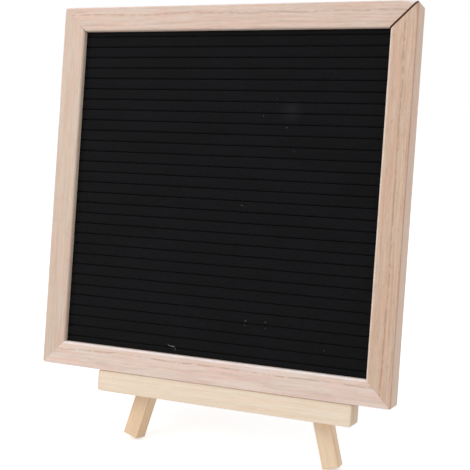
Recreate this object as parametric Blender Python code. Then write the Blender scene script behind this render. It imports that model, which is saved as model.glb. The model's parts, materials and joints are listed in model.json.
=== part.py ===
"""Felt letter board standing on a small folding wooden easel.

Metres, +Z up. The board faces -Y and leans back on the easel. The origin is on the
floor, under the middle of the whole object.

Two working frames are used:
  the leaning plane: X to the right, Y into the board from its front face, Z up along it,
    with Y = 0 at the board's front face and Z = 0 at the top of the ledge;
  the rear leg: the same axes turned about the hinge pin, with Z along the leg.
"""

import math

import bmesh
import bpy
from mathutils import Matrix, Vector

# General
GAP = 0.0003                 # clearance between pieces that touch
LEAN = math.radians(10.2)    # lean of the board from the vertical

# Picture frame moulding
FRAME_WIDTH = 0.300          # outside, left to right
FRAME_HEIGHT = 0.300         # outside, bottom to top
MOULDING_WIDTH = 0.020       # face of the moulding
MOULDING_DEPTH = 0.022       # front to back
SIGHT_EDGE_R = 0.0020        # round on the inner front edge
OUTER_EDGE_R = 0.0015        # round on the outer front edge
BACK_EDGE_R = 0.0010         # round on the outer back edge
LIP_DEPTH = 0.0047           # wood left in front of the rabbet
RABBET_WIDTH = 0.0070        # how far the rabbet reaches under the face
OPEN_MITRE_GAP = 0.0009      # the top right mitre stands slightly open

# Felt face and what it is tucked into
PANEL_PLAY = 0.0005          # play of the panel in the rabbet, each side
FELT_THICKNESS = 0.0010
GROOVE_COUNT = 30            # letter slots in the sight opening
FIRST_GROOVE = 0.0049        # first slot above the lower sight edge
SLOT_WIDTH = 0.0009
SLOT_DEPTH = 0.0045
SLOT_LIP_R = 0.0008          # round where the felt turns into a slot
RIB_CROWN = 0.0002           # rise of the felt at the middle of a rib
CORE_BASE = 0.0022           # board left behind the core's grooves
BACKING_THICKNESS = 0.0025

# Tabs that hold the backing board
TAB_WIDTH = 0.0070
TAB_THICKNESS = 0.0006
TAB_IN_WOOD = 0.0060
TAB_OVER_BOARD = 0.0090
TAB_SPACING = 0.150          # between the two tabs of one side

# V-shaped nails across the mitres
NAIL_LEG = 0.0060            # length of each arm of the V
NAIL_THICKNESS = 0.0005
NAIL_DRIVE = 0.0100          # how deep it is driven in from the back
NAIL_SEAT = 0.0110           # apex of the V from the sight edge

# Sawtooth hanger
HANGER_LENGTH = 0.044
HANGER_HEIGHT = 0.008
HANGER_THICKNESS = 0.0008
HANGER_RISE = 0.0016         # the toothed middle stands off the wood
HANGER_END = 0.009           # flat end with the nail hole
TOOTH_PITCH = 0.002
TOOTH_HEIGHT = 0.0015
PIN_NAIL_R = 0.0007
PIN_NAIL_HEAD_R = 0.0016
PIN_NAIL_HEAD = 0.0006
PIN_NAIL_LENGTH = 0.0085

# Easel sticks
STICK = 0.014                # square section of the legs
LEG_TURN = math.radians(4.0)  # each front leg's front face is turned this far outwards
STICK_EDGE_R = 0.0012        # round on a leg's long edges
FOOT_EDGE_R = 0.0008         # round on the edges of a foot
EASEL_X = 0.0137             # the easel stands a little to the right of the board
EASEL_BELOW_FRAME = 0.036    # the legs' tops stay hidden below the frame's top
FOOT_SPREAD = 0.1748         # between the middles of the two front feet
FOOT_DROP = 0.0555           # from the ledge's top to the middle of a foot's end
APEX_DROP = 0.0035           # the legs' middle lines meet this far below their tops

# Ledge that carries the board
LEDGE_LENGTH = 0.2176
LEDGE_DEPTH = 0.0195
LEDGE_HEIGHT = 0.0174
LEDGE_EDGE_R = 0.0016
LEDGE_SHIFT = -0.0018        # from the middle of the easel

# Head block behind the tops of the legs
BLOCK_HEIGHT = 0.060
BLOCK_THICKNESS = 0.010
BLOCK_EDGE_R = 0.0010
BLOCK_SCREW_RISE = 0.009     # screws above the block's lower edge

# Wood screws
SCREW_R = 0.0013
SCREW_HEAD_R = 0.0026
SCREW_HEAD = 0.0015
LEDGE_SCREW_LENGTH = 0.025
BLOCK_SCREW_LENGTH = 0.019

# Hinge of the rear leg
OPENING = math.radians(28.0)  # between the front legs and the rear leg when it stands
HINGE_DROP = 0.019            # pin below the easel's top
HINGE_LENGTH = 0.0114         # along the pin
LEAF_LENGTH = 0.0150
LEAF_THICKNESS = 0.0008
HINGE_PIN_R = 0.00075
HINGE_PIN_HEAD_R = 0.0014
HINGE_PIN_HEAD = 0.0006
HINGE_SCREW_R = 0.0008
HINGE_SCREW_HEAD_R = 0.0016
HINGE_SCREW_HEAD = 0.0007
HINGE_SCREW_LENGTH = 0.0070
HINGE_SCREWS = (0.0052, 0.0112)   # below the pin
REAR_LEG_TOP = 0.014              # rear leg above the pin

# Facets
ARC_STEPS = 4                # steps of a rounded edge
TURN_STEPS = 16              # steps of a turned piece
HINGE_STEPS = 20             # steps of the hinge knuckle

# Worked out from the sizes above
SIGHT_WIDTH = FRAME_WIDTH - 2 * MOULDING_WIDTH
SIGHT_HEIGHT = FRAME_HEIGHT - 2 * MOULDING_WIDTH
PANEL_OVERLAP = RABBET_WIDTH - PANEL_PLAY
PANEL_WIDTH = SIGHT_WIDTH + 2 * PANEL_OVERLAP
PANEL_HEIGHT = SIGHT_HEIGHT + 2 * PANEL_OVERLAP
BOARD_BOTTOM = GAP
BOARD_CENTRE_Z = BOARD_BOTTOM + FRAME_HEIGHT / 2
GROOVE_PITCH = SIGHT_HEIGHT / GROOVE_COUNT
FELT_FRONT = LIP_DEPTH + GAP
CORE_FRONT = FELT_FRONT + FELT_THICKNESS + RIB_CROWN + GAP
CORE_FLOOR = FELT_FRONT + SLOT_DEPTH + FELT_THICKNESS + GAP
CORE_BACK = CORE_FLOOR + CORE_BASE
CORE_GROOVE_WIDTH = SLOT_WIDTH + 2 * (FELT_THICKNESS + GAP)
BACKING_FRONT = CORE_BACK + GAP
BACKING_BACK = BACKING_FRONT + BACKING_THICKNESS
TAB_FRONT = BACKING_BACK + GAP
LEG_FRONT = MOULDING_DEPTH + GAP
STICK_FLAT = STICK / 2 - STICK_EDGE_R
LEG_REACH = STICK_FLAT * (math.cos(LEG_TURN) + math.sin(LEG_TURN)) + STICK_EDGE_R
LEG_MIDDLE = LEG_FRONT + LEG_REACH
LEG_BACK = LEG_MIDDLE + LEG_REACH
EASEL_TOP = FRAME_HEIGHT - EASEL_BELOW_FRAME
APEX_Z = EASEL_TOP - APEX_DROP
LEG_SPLAY = math.atan(FOOT_SPREAD / 2 / (APEX_Z + FOOT_DROP))
BLOCK_FRONT = LEG_BACK + GAP
BLOCK_BACK = BLOCK_FRONT + BLOCK_THICKNESS
BLOCK_BOTTOM = EASEL_TOP - BLOCK_HEIGHT
BLOCK_SCREW_Z = BLOCK_BOTTOM + BLOCK_SCREW_RISE
KNUCKLE_R = HINGE_PIN_R + GAP + LEAF_THICKNESS
HINGE_Y = BLOCK_BACK + GAP + KNUCKLE_R
HINGE_Z = EASEL_TOP - HINGE_DROP
REAR_LEG_TILT = OPENING - LEAN
REAR_LEG_FRONT = KNUCKLE_R + GAP


def leg_offset(z):
    """Distance of a front leg's middle line from the easel's middle, at a height in the plane."""
    return (APEX_Z - z) * math.tan(LEG_SPLAY)


def foot_level():
    """Lowest point of a front foot under the ledge's top, in the world.

    The foot is a flat end with all its edges rounded. How far it reaches down from
    the middle of its end is its flat's reach, plus what the rounds on the long edges
    and on the foot add to it.
    """
    across = math.sin(LEG_SPLAY) * math.cos(LEAN)
    through = math.sin(LEAN)
    along = math.cos(LEG_SPLAY) * math.cos(LEAN)
    sine, cosine = math.sin(LEG_TURN), math.cos(LEG_TURN)
    flat_drop = abs(across * cosine - through * sine) + across * sine + through * cosine
    long_round = (STICK_EDGE_R - FOOT_EDGE_R) * math.hypot(across, through)
    foot_round = FOOT_EDGE_R * (1 - along)
    reach = STICK_FLAT * flat_drop + long_round + foot_round
    return FOOT_DROP * math.cos(LEAN) + LEG_MIDDLE * math.sin(LEAN) + reach


def rear_leg_length():
    """Length of the rear leg below the pin, so that its rounded front edge meets the floor."""
    sine, cosine = math.sin(REAR_LEG_TILT), math.cos(REAR_LEG_TILT)
    pin_height = HINGE_Z * math.cos(LEAN) - HINGE_Y * math.sin(LEAN) + foot_level()
    edge_rise = REAR_LEG_FRONT * sine + FOOT_EDGE_R * (cosine + sine - 1)
    return (pin_height + edge_rise) / cosine


def clear_scene():
    for old in list(bpy.data.objects):
        bpy.data.objects.remove(old, do_unlink=True)


def material(name, colour, roughness, metallic=0.0):
    """A Principled material, made once for each name."""
    made = bpy.data.materials.get(name)
    if made:
        return made
    made = bpy.data.materials.new(name)
    made.use_nodes = True
    shader = made.node_tree.nodes["Principled BSDF"]
    shader.inputs["Base Color"].default_value = (*colour, 1.0)
    shader.inputs["Roughness"].default_value = roughness
    shader.inputs["Metallic"].default_value = metallic
    return made


def frame_wood():
    return material("frame_wood", (0.66, 0.51, 0.41), 0.62)


def easel_wood():
    return material("easel_wood", (0.80, 0.66, 0.46), 0.60)


def black_felt():
    return material("black_felt", (0.010, 0.010, 0.011), 0.95)


def fibre_board():
    return material("fibre_board", (0.36, 0.25, 0.16), 0.80)


def zinc_steel():
    return material("zinc_steel", (0.60, 0.60, 0.62), 0.35, 1.0)


def brass_plate():
    return material("brass_plate", (0.72, 0.55, 0.27), 0.32, 1.0)


def empty(name, location, turn_x=0.0, parent=None):
    made = bpy.data.objects.new(name, None)
    made.location = location
    made.rotation_euler = (turn_x, 0.0, 0.0)
    made.parent = parent
    bpy.context.scene.collection.objects.link(made)
    return made


def piece(name, bm, look, parent, location=(0, 0, 0), turn=(0, 0, 0), smooth=False):
    """Turns a bmesh into a named object under its parent."""
    bmesh.ops.recalc_face_normals(bm, faces=bm.faces)
    mesh = bpy.data.meshes.new(name)
    bm.to_mesh(mesh)
    bm.free()
    made = bpy.data.objects.new(name, mesh)
    made.location = location
    made.rotation_euler = turn
    made.parent = parent
    bpy.context.scene.collection.objects.link(made)
    if look:
        mesh.materials.append(look)
    if smooth:
        mesh.shade_smooth()
        mesh.set_sharp_from_angle(angle=math.radians(35))
    return made


def cutter(name, bm, parent, location=(0, 0, 0), turn=(0, 0, 0)):
    """A solid that is only taken away from others."""
    made = piece(name, bm, None, parent, location, turn)
    made.hide_render = True
    made.display_type = "WIRE"
    return made


def cut(target, *tools):
    """Takes each cutter away from the target."""
    for tool in tools:
        step = target.modifiers.new(tool.name, "BOOLEAN")
        step.operation = "DIFFERENCE"
        step.solver = "EXACT"
        step.object = tool


def prism(outline, axis, start, end):
    """A closed prism: a flat outline carried along one axis.

    The outline's pairs are (y, z) for axis X, (x, z) for axis Y and (x, y) for axis Z.
    """
    place = {
        "X": lambda a, b, c: (c, a, b),
        "Y": lambda a, b, c: (a, c, b),
        "Z": lambda a, b, c: (a, b, c),
    }[axis]
    bm = bmesh.new()
    rims = []
    for level in (start, end):
        rims.append([bm.verts.new(place(a, b, level)) for a, b in outline])
    bm.faces.new(rims[0])
    bm.faces.new(rims[1])
    count = len(outline)
    for i in range(count):
        j = (i + 1) % count
        bm.faces.new((rims[0][i], rims[0][j], rims[1][j], rims[1][i]))
    return bm


def box(low, high):
    outline = [(low[0], low[1]), (high[0], low[1]), (high[0], high[1]), (low[0], high[1])]
    return prism(outline, "Z", low[2], high[2])


def arc(centre, radius, start_deg, end_deg, steps=ARC_STEPS):
    """Points on a circle from one angle to another, both included."""
    points = []
    for i in range(steps + 1):
        turn = math.radians(start_deg + (end_deg - start_deg) * i / steps)
        x = centre[0] + radius * math.cos(turn)
        y = centre[1] + radius * math.sin(turn)
        points.append((x, y))
    return points


def rounded_rectangle(low, high, radius, steps=ARC_STEPS):
    """A rectangle's outline with its four corners rounded."""
    x0, y0 = low[0] + radius, low[1] + radius
    x1, y1 = high[0] - radius, high[1] - radius
    outline = arc((x0, y0), radius, 180, 270, steps)
    outline += arc((x1, y0), radius, 270, 360, steps)
    outline += arc((x1, y1), radius, 0, 90, steps)
    outline += arc((x0, y1), radius, 90, 180, steps)
    return outline


def eased_bar(axis, low, high, edge_r, start, end, start_r, end_r, steps=3):
    """A bar along X or Z with rounded long edges, and with rounds of their own at its ends.

    Towards a rounded end the section shrinks along a quarter circle of that end's radius.
    An end whose radius is nought is cut square.
    """
    place = {"X": lambda a, b, c: (c, a, b), "Z": lambda a, b, c: (a, b, c)}[axis]
    quarter = [math.pi / 2 * i / steps for i in range(steps + 1)]
    stations = [(start, 0.0)]
    if start_r > 0:
        stations = [(start + start_r * (1 - math.sin(t)), start_r * (1 - math.cos(t)))
                    for t in quarter[::-1]]
    if end_r > 0:
        stations += [(end - end_r * (1 - math.sin(t)), end_r * (1 - math.cos(t)))
                     for t in quarter]
    else:
        stations.append((end, 0.0))
    bm = bmesh.new()
    rings = []
    for level, inset in stations:
        near = (low[0] + inset, low[1] + inset)
        far = (high[0] - inset, high[1] - inset)
        radius = max(edge_r - inset, edge_r / 10)
        outline = rounded_rectangle(near, far, radius, steps)
        rings.append([bm.verts.new(place(a, b, level)) for a, b in outline])
    bm.faces.new(rings[0])
    bm.faces.new(rings[-1])
    count = len(rings[0])
    for a, b in zip(rings, rings[1:]):
        for i in range(count):
            j = (i + 1) % count
            bm.faces.new((a[i], a[j], b[j], b[i]))
    return bm


def turned(profile, steps=TURN_STEPS):
    """A turned solid about the Y axis from (radius, y) pairs, closed by a point at each end."""
    bm = bmesh.new()
    first = bm.verts.new((0, profile[0][1], 0))
    last = bm.verts.new((0, profile[-1][1], 0))
    rings = []
    for radius, y in profile:
        ring = []
        for i in range(steps):
            turn = 2 * math.pi * i / steps
            ring.append(bm.verts.new((radius * math.cos(turn), y, radius * math.sin(turn))))
        rings.append(ring)
    for i in range(steps):
        j = (i + 1) % steps
        bm.faces.new((first, rings[0][i], rings[0][j]))
        bm.faces.new((last, rings[-1][j], rings[-1][i]))
        for low, high in zip(rings, rings[1:]):
            bm.faces.new((low[i], low[j], high[j], high[i]))
    return bm


def slice_off(bm, point, normal):
    """Cuts away what lies on the normal's side of a plane and closes the cut."""
    every = list(bm.verts) + list(bm.edges) + list(bm.faces)
    result = bmesh.ops.bisect_plane(
        bm, geom=every, plane_co=Vector(point), plane_no=Vector(normal), clear_outer=True
    )
    rim = [item for item in result["geom_cut"] if isinstance(item, bmesh.types.BMEdge)]
    bmesh.ops.edgeloop_fill(bm, edges=rim)


# Picture frame


def moulding_outline():
    """Section of the moulding: (depth from the front, distance out from the sight edge)."""
    r, ro, rb = SIGHT_EDGE_R, OUTER_EDGE_R, BACK_EDGE_R
    outline = arc((r, r), r, 270, 180)
    outline += arc((ro, MOULDING_WIDTH - ro), ro, 180, 90)
    outline += arc((MOULDING_DEPTH - rb, MOULDING_WIDTH - rb), rb, 90, 0, 2)
    outline.append((MOULDING_DEPTH, RABBET_WIDTH))
    outline.append((LIP_DEPTH, RABBET_WIDTH))
    outline.append((LIP_DEPTH, 0.0))
    return outline


def rail(name, length, reach, turn_y, left_gap, right_gap, parent):
    """One side of the frame, mitred at both ends.

    It is drawn as a top rail about the board's centre, with its outer face at height
    reach, and then turned about the board's normal.
    """
    sight = reach - MOULDING_WIDTH
    outline = [(y, sight + w) for y, w in moulding_outline()]
    bm = prism(outline, "X", -length / 2, length / 2)
    slant = math.sqrt(0.5)
    for side, gap in ((-1, left_gap), (1, right_gap)):
        normal = Vector((side * slant, 0, -slant))
        corner = Vector((side * length / 2, 0, reach))
        slice_off(bm, corner - normal * gap / 2, normal)
    centre = (0, 0, BOARD_CENTRE_Z)
    return piece(name, bm, frame_wood(), parent, centre, (0, turn_y, 0), smooth=True)


def build_frame(plane):
    """The four sides. Turning a top rail by 90 degrees about Y makes the right stile."""
    half_w, half_h = FRAME_WIDTH / 2, FRAME_HEIGHT / 2
    quarter = math.pi / 2
    sides = {
        "top": ("frame_top_rail", FRAME_WIDTH, half_h, 0, GAP, OPEN_MITRE_GAP),
        "right": ("frame_right_stile", FRAME_HEIGHT, half_w, quarter, OPEN_MITRE_GAP, GAP),
        "bottom": ("frame_bottom_rail", FRAME_WIDTH, half_h, 2 * quarter, GAP, GAP),
        "left": ("frame_left_stile", FRAME_HEIGHT, half_w, 3 * quarter, GAP, GAP),
    }
    return {side: rail(*facts, plane) for side, facts in sides.items()}


def v_nail_plan(arm, thickness, sx, sz):
    """Plan of a V nail about its apex, with an arm back along each side of the corner."""
    h = thickness / 2
    outline = [(h, h), (-arm, h), (-arm, -h), (-h, -h), (-h, -arm), (h, -arm)]
    return [(sx * a, sz * b) for a, b in outline]


def build_corner_nails(plane, frame):
    """A V nail across each mitre, driven in from the back until it is flush.

    Its apex is on the mitre and each of its two arms lies in one of the sides.
    """
    corners = {
        "top_right": (1, 1, "top", "right"),
        "bottom_right": (1, -1, "bottom", "right"),
        "bottom_left": (-1, -1, "bottom", "left"),
        "top_left": (-1, 1, "top", "left"),
    }
    start = MOULDING_DEPTH - NAIL_DRIVE
    for corner, (sx, sz, first, second) in corners.items():
        x = sx * (SIGHT_WIDTH / 2 + NAIL_SEAT)
        z = BOARD_CENTRE_Z + sz * (SIGHT_HEIGHT / 2 + NAIL_SEAT)
        plan = v_nail_plan(NAIL_LEG, NAIL_THICKNESS, sx, sz)
        body = prism(plan, "Y", start, MOULDING_DEPTH - GAP)
        piece(f"corner_nail_{corner}", body, zinc_steel(), plane, (x, 0, z))
        slot = v_nail_plan(NAIL_LEG + GAP, NAIL_THICKNESS + 2 * GAP, sx, sz)
        room = prism(slot, "Y", start - GAP, MOULDING_DEPTH + GAP)
        tool = cutter(f"slot_{corner}", room, plane, (x, 0, z))
        cut(frame[first], tool)
        cut(frame[second], tool)


# Felt face, core and backing


def groove_heights():
    """Heights of the slots above the panel's middle."""
    first = FIRST_GROOVE - SIGHT_HEIGHT / 2
    return [first + i * GROOVE_PITCH for i in range(GROOVE_COUNT)]


def felt_outline():
    """Section of the felt: one sheet that runs over the ribs and is tucked into each slot.

    Going up its front it turns into a slot over a small round, runs to the slot's floor,
    turns there in a half circle and comes back out. Its back follows at the thickness
    of the felt.
    """
    half = PANEL_HEIGHT / 2
    shoulder = FELT_FRONT + RIB_CROWN
    wall = SLOT_WIDTH / 2
    floor = FELT_FRONT + SLOT_DEPTH
    front = [(shoulder, -half)]
    back = [(shoulder + FELT_THICKNESS, -half)]
    heights = groove_heights()
    for i, z in enumerate(heights):
        front += arc((shoulder + SLOT_LIP_R, z - wall - SLOT_LIP_R), SLOT_LIP_R, 180, 90, 3)
        front += arc((floor - wall, z), wall, -90, 90, 4)
        front += arc((shoulder + SLOT_LIP_R, z + wall + SLOT_LIP_R), SLOT_LIP_R, 270, 180, 3)
        outer = wall + FELT_THICKNESS
        back.append((shoulder + FELT_THICKNESS, z - outer))
        back.append((floor + FELT_THICKNESS, z - outer))
        back.append((floor + FELT_THICKNESS, z + outer))
        back.append((shoulder + FELT_THICKNESS, z + outer))
        if i + 1 < len(heights):
            front.append((FELT_FRONT, z + GROOVE_PITCH / 2))
    front.append((shoulder, half))
    back.append((shoulder + FELT_THICKNESS, half))
    return front + back[::-1]


def core_outline():
    """Section of the grooved board under the felt: flat ribs and a groove at each slot."""
    half = PANEL_HEIGHT / 2
    wide = CORE_GROOVE_WIDTH / 2
    outline = [(CORE_BACK, half), (CORE_BACK, -half), (CORE_FRONT, -half)]
    for z in groove_heights():
        outline.append((CORE_FRONT, z - wide))
        outline.append((CORE_FLOOR, z - wide))
        outline.append((CORE_FLOOR, z + wide))
        outline.append((CORE_FRONT, z + wide))
    outline.append((CORE_FRONT, half))
    return outline


def build_panel(plane):
    """The felt face, the grooved core that shapes it and the board behind them."""
    half = PANEL_WIDTH / 2
    centre = (0, 0, BOARD_CENTRE_Z)
    felt = prism(felt_outline(), "X", -half, half)
    piece("felt_face", felt, black_felt(), plane, centre)
    core = prism(core_outline(), "X", -half, half)
    piece("ribbed_core", core, fibre_board(), plane, centre)
    low = (-half, BACKING_FRONT, -PANEL_HEIGHT / 2)
    high = (half, BACKING_BACK, PANEL_HEIGHT / 2)
    piece("backing_board", box(low, high), fibre_board(), plane, centre)


def tab_outline(width, inner, outer):
    """Plan of a tab: square where it is driven into the wood, round over the board."""
    r = width / 2
    return [(r, outer), (-r, outer)] + arc((0, inner + r), r, 180, 360, 6)


def build_tabs(plane, frame):
    """Two tabs on each side, driven into the rabbet's wall behind the backing board."""
    reaches = {"top": SIGHT_HEIGHT, "right": SIGHT_WIDTH, "bottom": SIGHT_HEIGHT, "left": SIGHT_WIDTH}
    centre = (0, 0, BOARD_CENTRE_Z)
    for quarter, (side, opening) in enumerate(reaches.items()):
        turn = (0, quarter * math.pi / 2, 0)
        wall = opening / 2 + RABBET_WIDTH
        for number, shift in enumerate((-TAB_SPACING / 2, TAB_SPACING / 2), start=1):
            plan = tab_outline(TAB_WIDTH, wall - TAB_OVER_BOARD, wall + TAB_IN_WOOD)
            moved = [(x + shift, z) for x, z in plan]
            body = prism(moved, "Y", TAB_FRONT, TAB_FRONT + TAB_THICKNESS)
            piece(f"backing_tab_{side}_{number}", body, zinc_steel(), plane, centre, turn)
            low = (shift - TAB_WIDTH / 2 - GAP, TAB_FRONT - GAP, wall - GAP)
            high = (
                shift + TAB_WIDTH / 2 + GAP,
                TAB_FRONT + TAB_THICKNESS + GAP,
                wall + TAB_IN_WOOD + GAP,
            )
            tool = cutter(f"tab_slot_{side}_{number}", box(low, high), plane, centre, turn)
            cut(frame[side], tool)


# Sawtooth hanger


def hanger_rise(x):
    """How far the strip stands off the wood: flat ends, a short bend, a raised middle."""
    bend = 2 * HANGER_RISE
    inside = HANGER_LENGTH / 2 - HANGER_END - abs(x)
    return HANGER_RISE * min(max(inside / bend, 0.0), 1.0)


def hanger_stations():
    """Places along the strip where its section changes, each with its lower edge."""
    flat = HANGER_LENGTH / 2
    bend_out = flat - HANGER_END
    bend_in = bend_out - 2 * HANGER_RISE
    teeth = int(2 * bend_in / TOOTH_PITCH)
    first = -teeth * TOOTH_PITCH / 2
    stations = [(-flat, 0.0), (-bend_out, 0.0), (-bend_in, 0.0)]
    for i in range(teeth):
        x = first + i * TOOTH_PITCH
        stations.append((x + TOOTH_PITCH * 0.25, TOOTH_HEIGHT))
        stations.append((x + TOOTH_PITCH * 0.75, 0.0))
    stations += [(bend_in, 0.0), (bend_out, 0.0), (flat, 0.0)]
    return stations


def hanger_strip():
    """A strip lofted through its stations, with the teeth cut into its lower edge."""
    bm = bmesh.new()
    rings = []
    half = HANGER_HEIGHT / 2
    for x, notch in hanger_stations():
        near = MOULDING_DEPTH + GAP + hanger_rise(x)
        far = near + HANGER_THICKNESS
        low = -half + notch
        corners = ((near, low), (far, low), (far, half), (near, half))
        rings.append([bm.verts.new((x, y, z)) for y, z in corners])
    bm.faces.new(rings[0])
    bm.faces.new(rings[-1])
    for a, b in zip(rings, rings[1:]):
        for i in range(4):
            j = (i + 1) % 4
            bm.faces.new((a[i], a[j], b[j], b[i]))
    bmesh.ops.triangulate(bm, faces=bm.faces)
    return bm


def pin_nail():
    """A flat-headed nail along -Y: its head outside, at Y = 0 and beyond."""
    chamfer = PIN_NAIL_HEAD / 3
    return turned([
        (PIN_NAIL_HEAD_R - chamfer, PIN_NAIL_HEAD),
        (PIN_NAIL_HEAD_R, PIN_NAIL_HEAD - chamfer),
        (PIN_NAIL_HEAD_R, 0),
        (PIN_NAIL_R, 0),
        (PIN_NAIL_R, 2 * PIN_NAIL_R - PIN_NAIL_LENGTH),
        (PIN_NAIL_R / 4, -PIN_NAIL_LENGTH),
    ], 12)


def build_hanger(plane, frame):
    """The hanger on the back of the top rail, with a nail through each end."""
    solid_wood = MOULDING_WIDTH - RABBET_WIDTH
    z = BOARD_BOTTOM + FRAME_HEIGHT - solid_wood / 2
    strip = piece("sawtooth_hanger", hanger_strip(), zinc_steel(), plane, (0, 0, z))
    head_y = MOULDING_DEPTH + HANGER_THICKNESS + 2 * GAP
    for side, sign in (("left", -1), ("right", 1)):
        x = sign * (HANGER_LENGTH - HANGER_END) / 2
        piece(f"hanger_nail_{side}", pin_nail(), zinc_steel(), plane, (x, head_y, z), smooth=True)
        radius = PIN_NAIL_R + GAP
        hole = turned([(radius, head_y), (radius, head_y - PIN_NAIL_LENGTH - GAP)], 12)
        tool = cutter(f"nail_hole_{side}", hole, plane, (x, 0, z))
        cut(strip, tool)
        cut(frame["top"], tool)


# Easel


def countersunk_screw(radius, head_radius, head, length):
    """A countersunk screw along -Y, with the flat of its head at Y = 0."""
    return turned([
        (head_radius, 0),
        (head_radius, -head / 6),
        (radius, -head),
        (radius, 2 * radius - length),
        (radius / 4, -length),
    ])


def screw_hole(radius, head_radius, head, length):
    """The room for a countersunk screw, with the clearance all round."""
    return turned([
        (head_radius + GAP, GAP),
        (head_radius + GAP, -head / 6),
        (radius + GAP, -head - GAP),
        (radius + GAP, -length - GAP),
    ])


def leg_axes(sign):
    """Axes of a front leg: its own Z runs along it, up to where the legs' middles meet."""
    apex = Matrix.Translation((EASEL_X, LEG_MIDDLE, APEX_Z))
    splay = Matrix.Rotation(-sign * LEG_SPLAY, 4, "Y")
    return apex @ splay @ Matrix.Rotation(sign * LEG_TURN, 4, "Z")


def build_front_legs(plane):
    """The two splayed legs, mitred together at the top and cut level there."""
    legs = {}
    low, high = (-STICK / 2, -STICK / 2), (STICK / 2, STICK / 2)
    spare = 2 * STICK
    foot_length = (APEX_Z + FOOT_DROP) / math.cos(LEG_SPLAY)
    for side, sign in (("left", -1), ("right", 1)):
        bm = eased_bar("Z", low, high, STICK_EDGE_R, -foot_length, spare, FOOT_EDGE_R, 0)
        bmesh.ops.transform(bm, matrix=leg_axes(sign), verts=bm.verts)
        slice_off(bm, (EASEL_X + sign * GAP / 2, 0, 0), (-sign, 0, 0))
        slice_off(bm, (0, 0, EASEL_TOP), (0, 0, 1))
        legs[side] = piece(f"easel_{side}_leg", bm, easel_wood(), plane, smooth=True)
    return legs


def build_ledge(plane):
    """The bar that carries the board, with rounded edges and ends."""
    middle = EASEL_X + LEDGE_SHIFT
    low = (MOULDING_DEPTH - LEDGE_DEPTH, -LEDGE_HEIGHT)
    high = (MOULDING_DEPTH, 0.0)
    start, end = middle - LEDGE_LENGTH / 2, middle + LEDGE_LENGTH / 2
    bm = eased_bar("X", low, high, LEDGE_EDGE_R, start, end, LEDGE_EDGE_R, LEDGE_EDGE_R)
    return piece("easel_ledge", bm, easel_wood(), plane, smooth=True)


def build_ledge_screws(plane, legs, ledge):
    """One screw through each leg into the ledge, square to the leg's back."""
    down = (APEX_Z + LEDGE_HEIGHT / 2) / math.cos(LEG_SPLAY)
    sizes = (SCREW_R, SCREW_HEAD_R, SCREW_HEAD, LEDGE_SCREW_LENGTH)
    for side, sign in (("left", -1), ("right", 1)):
        axes = leg_axes(sign)
        place, turn = axes @ Vector((0, STICK / 2, -down)), axes.to_euler()
        screw = countersunk_screw(*sizes)
        piece(f"ledge_screw_{side}", screw, zinc_steel(), plane, place, turn, smooth=True)
        tool = cutter(f"ledge_hole_{side}", screw_hole(*sizes), plane, place, turn)
        cut(legs[side], tool)
        cut(ledge, tool)


def build_head_block(plane, legs):
    """The block behind the tops of the legs. Its sides follow the legs' outer edges."""
    reach = LEG_REACH / math.cos(LEG_SPLAY)
    low = leg_offset(BLOCK_BOTTOM) + reach
    top = leg_offset(EASEL_TOP) + reach
    outline = [(-low, BLOCK_BOTTOM), (low, BLOCK_BOTTOM), (top, EASEL_TOP), (-top, EASEL_TOP)]
    moved = [(EASEL_X + x, z) for x, z in outline]
    block = piece("head_block", prism(moved, "Y", BLOCK_FRONT, BLOCK_BACK), easel_wood(), plane)
    ease = block.modifiers.new("eased_edges", "BEVEL")
    ease.width = BLOCK_EDGE_R
    ease.segments = 2
    ease.limit_method = "ANGLE"
    sizes = (SCREW_R, SCREW_HEAD_R, SCREW_HEAD, BLOCK_SCREW_LENGTH)
    for side, sign in (("left", -1), ("right", 1)):
        place = (EASEL_X + sign * leg_offset(BLOCK_SCREW_Z), BLOCK_BACK, BLOCK_SCREW_Z)
        screw = countersunk_screw(*sizes)
        piece(f"head_screw_{side}", screw, zinc_steel(), plane, place, smooth=True)
        tool = cutter(f"head_hole_{side}", screw_hole(*sizes), plane, place)
        cut(block, tool)
        cut(legs[side], tool)
    return block


# Rear leg and its hinge


def leaf_outline():
    """Section of a hinge leaf: a plate tangent to the round knuckle about the pin."""
    inner = KNUCKLE_R - LEAF_THICKNESS
    start = -90 - math.degrees(math.acos(math.sqrt(1 - (inner / KNUCKLE_R) ** 2)))
    knuckle = arc((0, 0), KNUCKLE_R, start, 180, HINGE_STEPS)
    return [(-KNUCKLE_R, -LEAF_LENGTH), (-inner, -LEAF_LENGTH)] + knuckle


def knuckle_spans():
    """The three knuckles along the pin: the outer two are the fixed leaf's."""
    length = (HINGE_LENGTH - 2 * GAP) / 3
    spans = []
    for i in range(3):
        start = -HINGE_LENGTH / 2 + i * (length + GAP)
        spans.append((start, start + length))
    return spans


def hinge_leaf(name, side, empties, parent):
    """A leaf whose knuckle is cut away where the other leaf's knuckles turn.

    side is -1 for the leaf with its plate in front of the pin and 1 for the one behind.
    """
    outline = [(-side * y, z) for y, z in leaf_outline()]
    half = HINGE_LENGTH / 2
    leaf = piece(name, prism(outline, "X", -half, half), brass_plate(), parent, smooth=True)
    pin_room = prism(arc((0, 0), HINGE_PIN_R + GAP, 0, 342, 19), "X", -half - GAP, half + GAP)
    cut(leaf, cutter(f"{name}_pin_room", pin_room, parent))
    reach = KNUCKLE_R + GAP
    for number, (start, end) in enumerate(empties, start=1):
        low = (max(start - GAP, -half - GAP), -reach, -reach)
        high = (min(end + GAP, half + GAP), reach, reach)
        cut(leaf, cutter(f"{name}_gap_{number}", box(low, high), parent))
    return leaf


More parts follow.
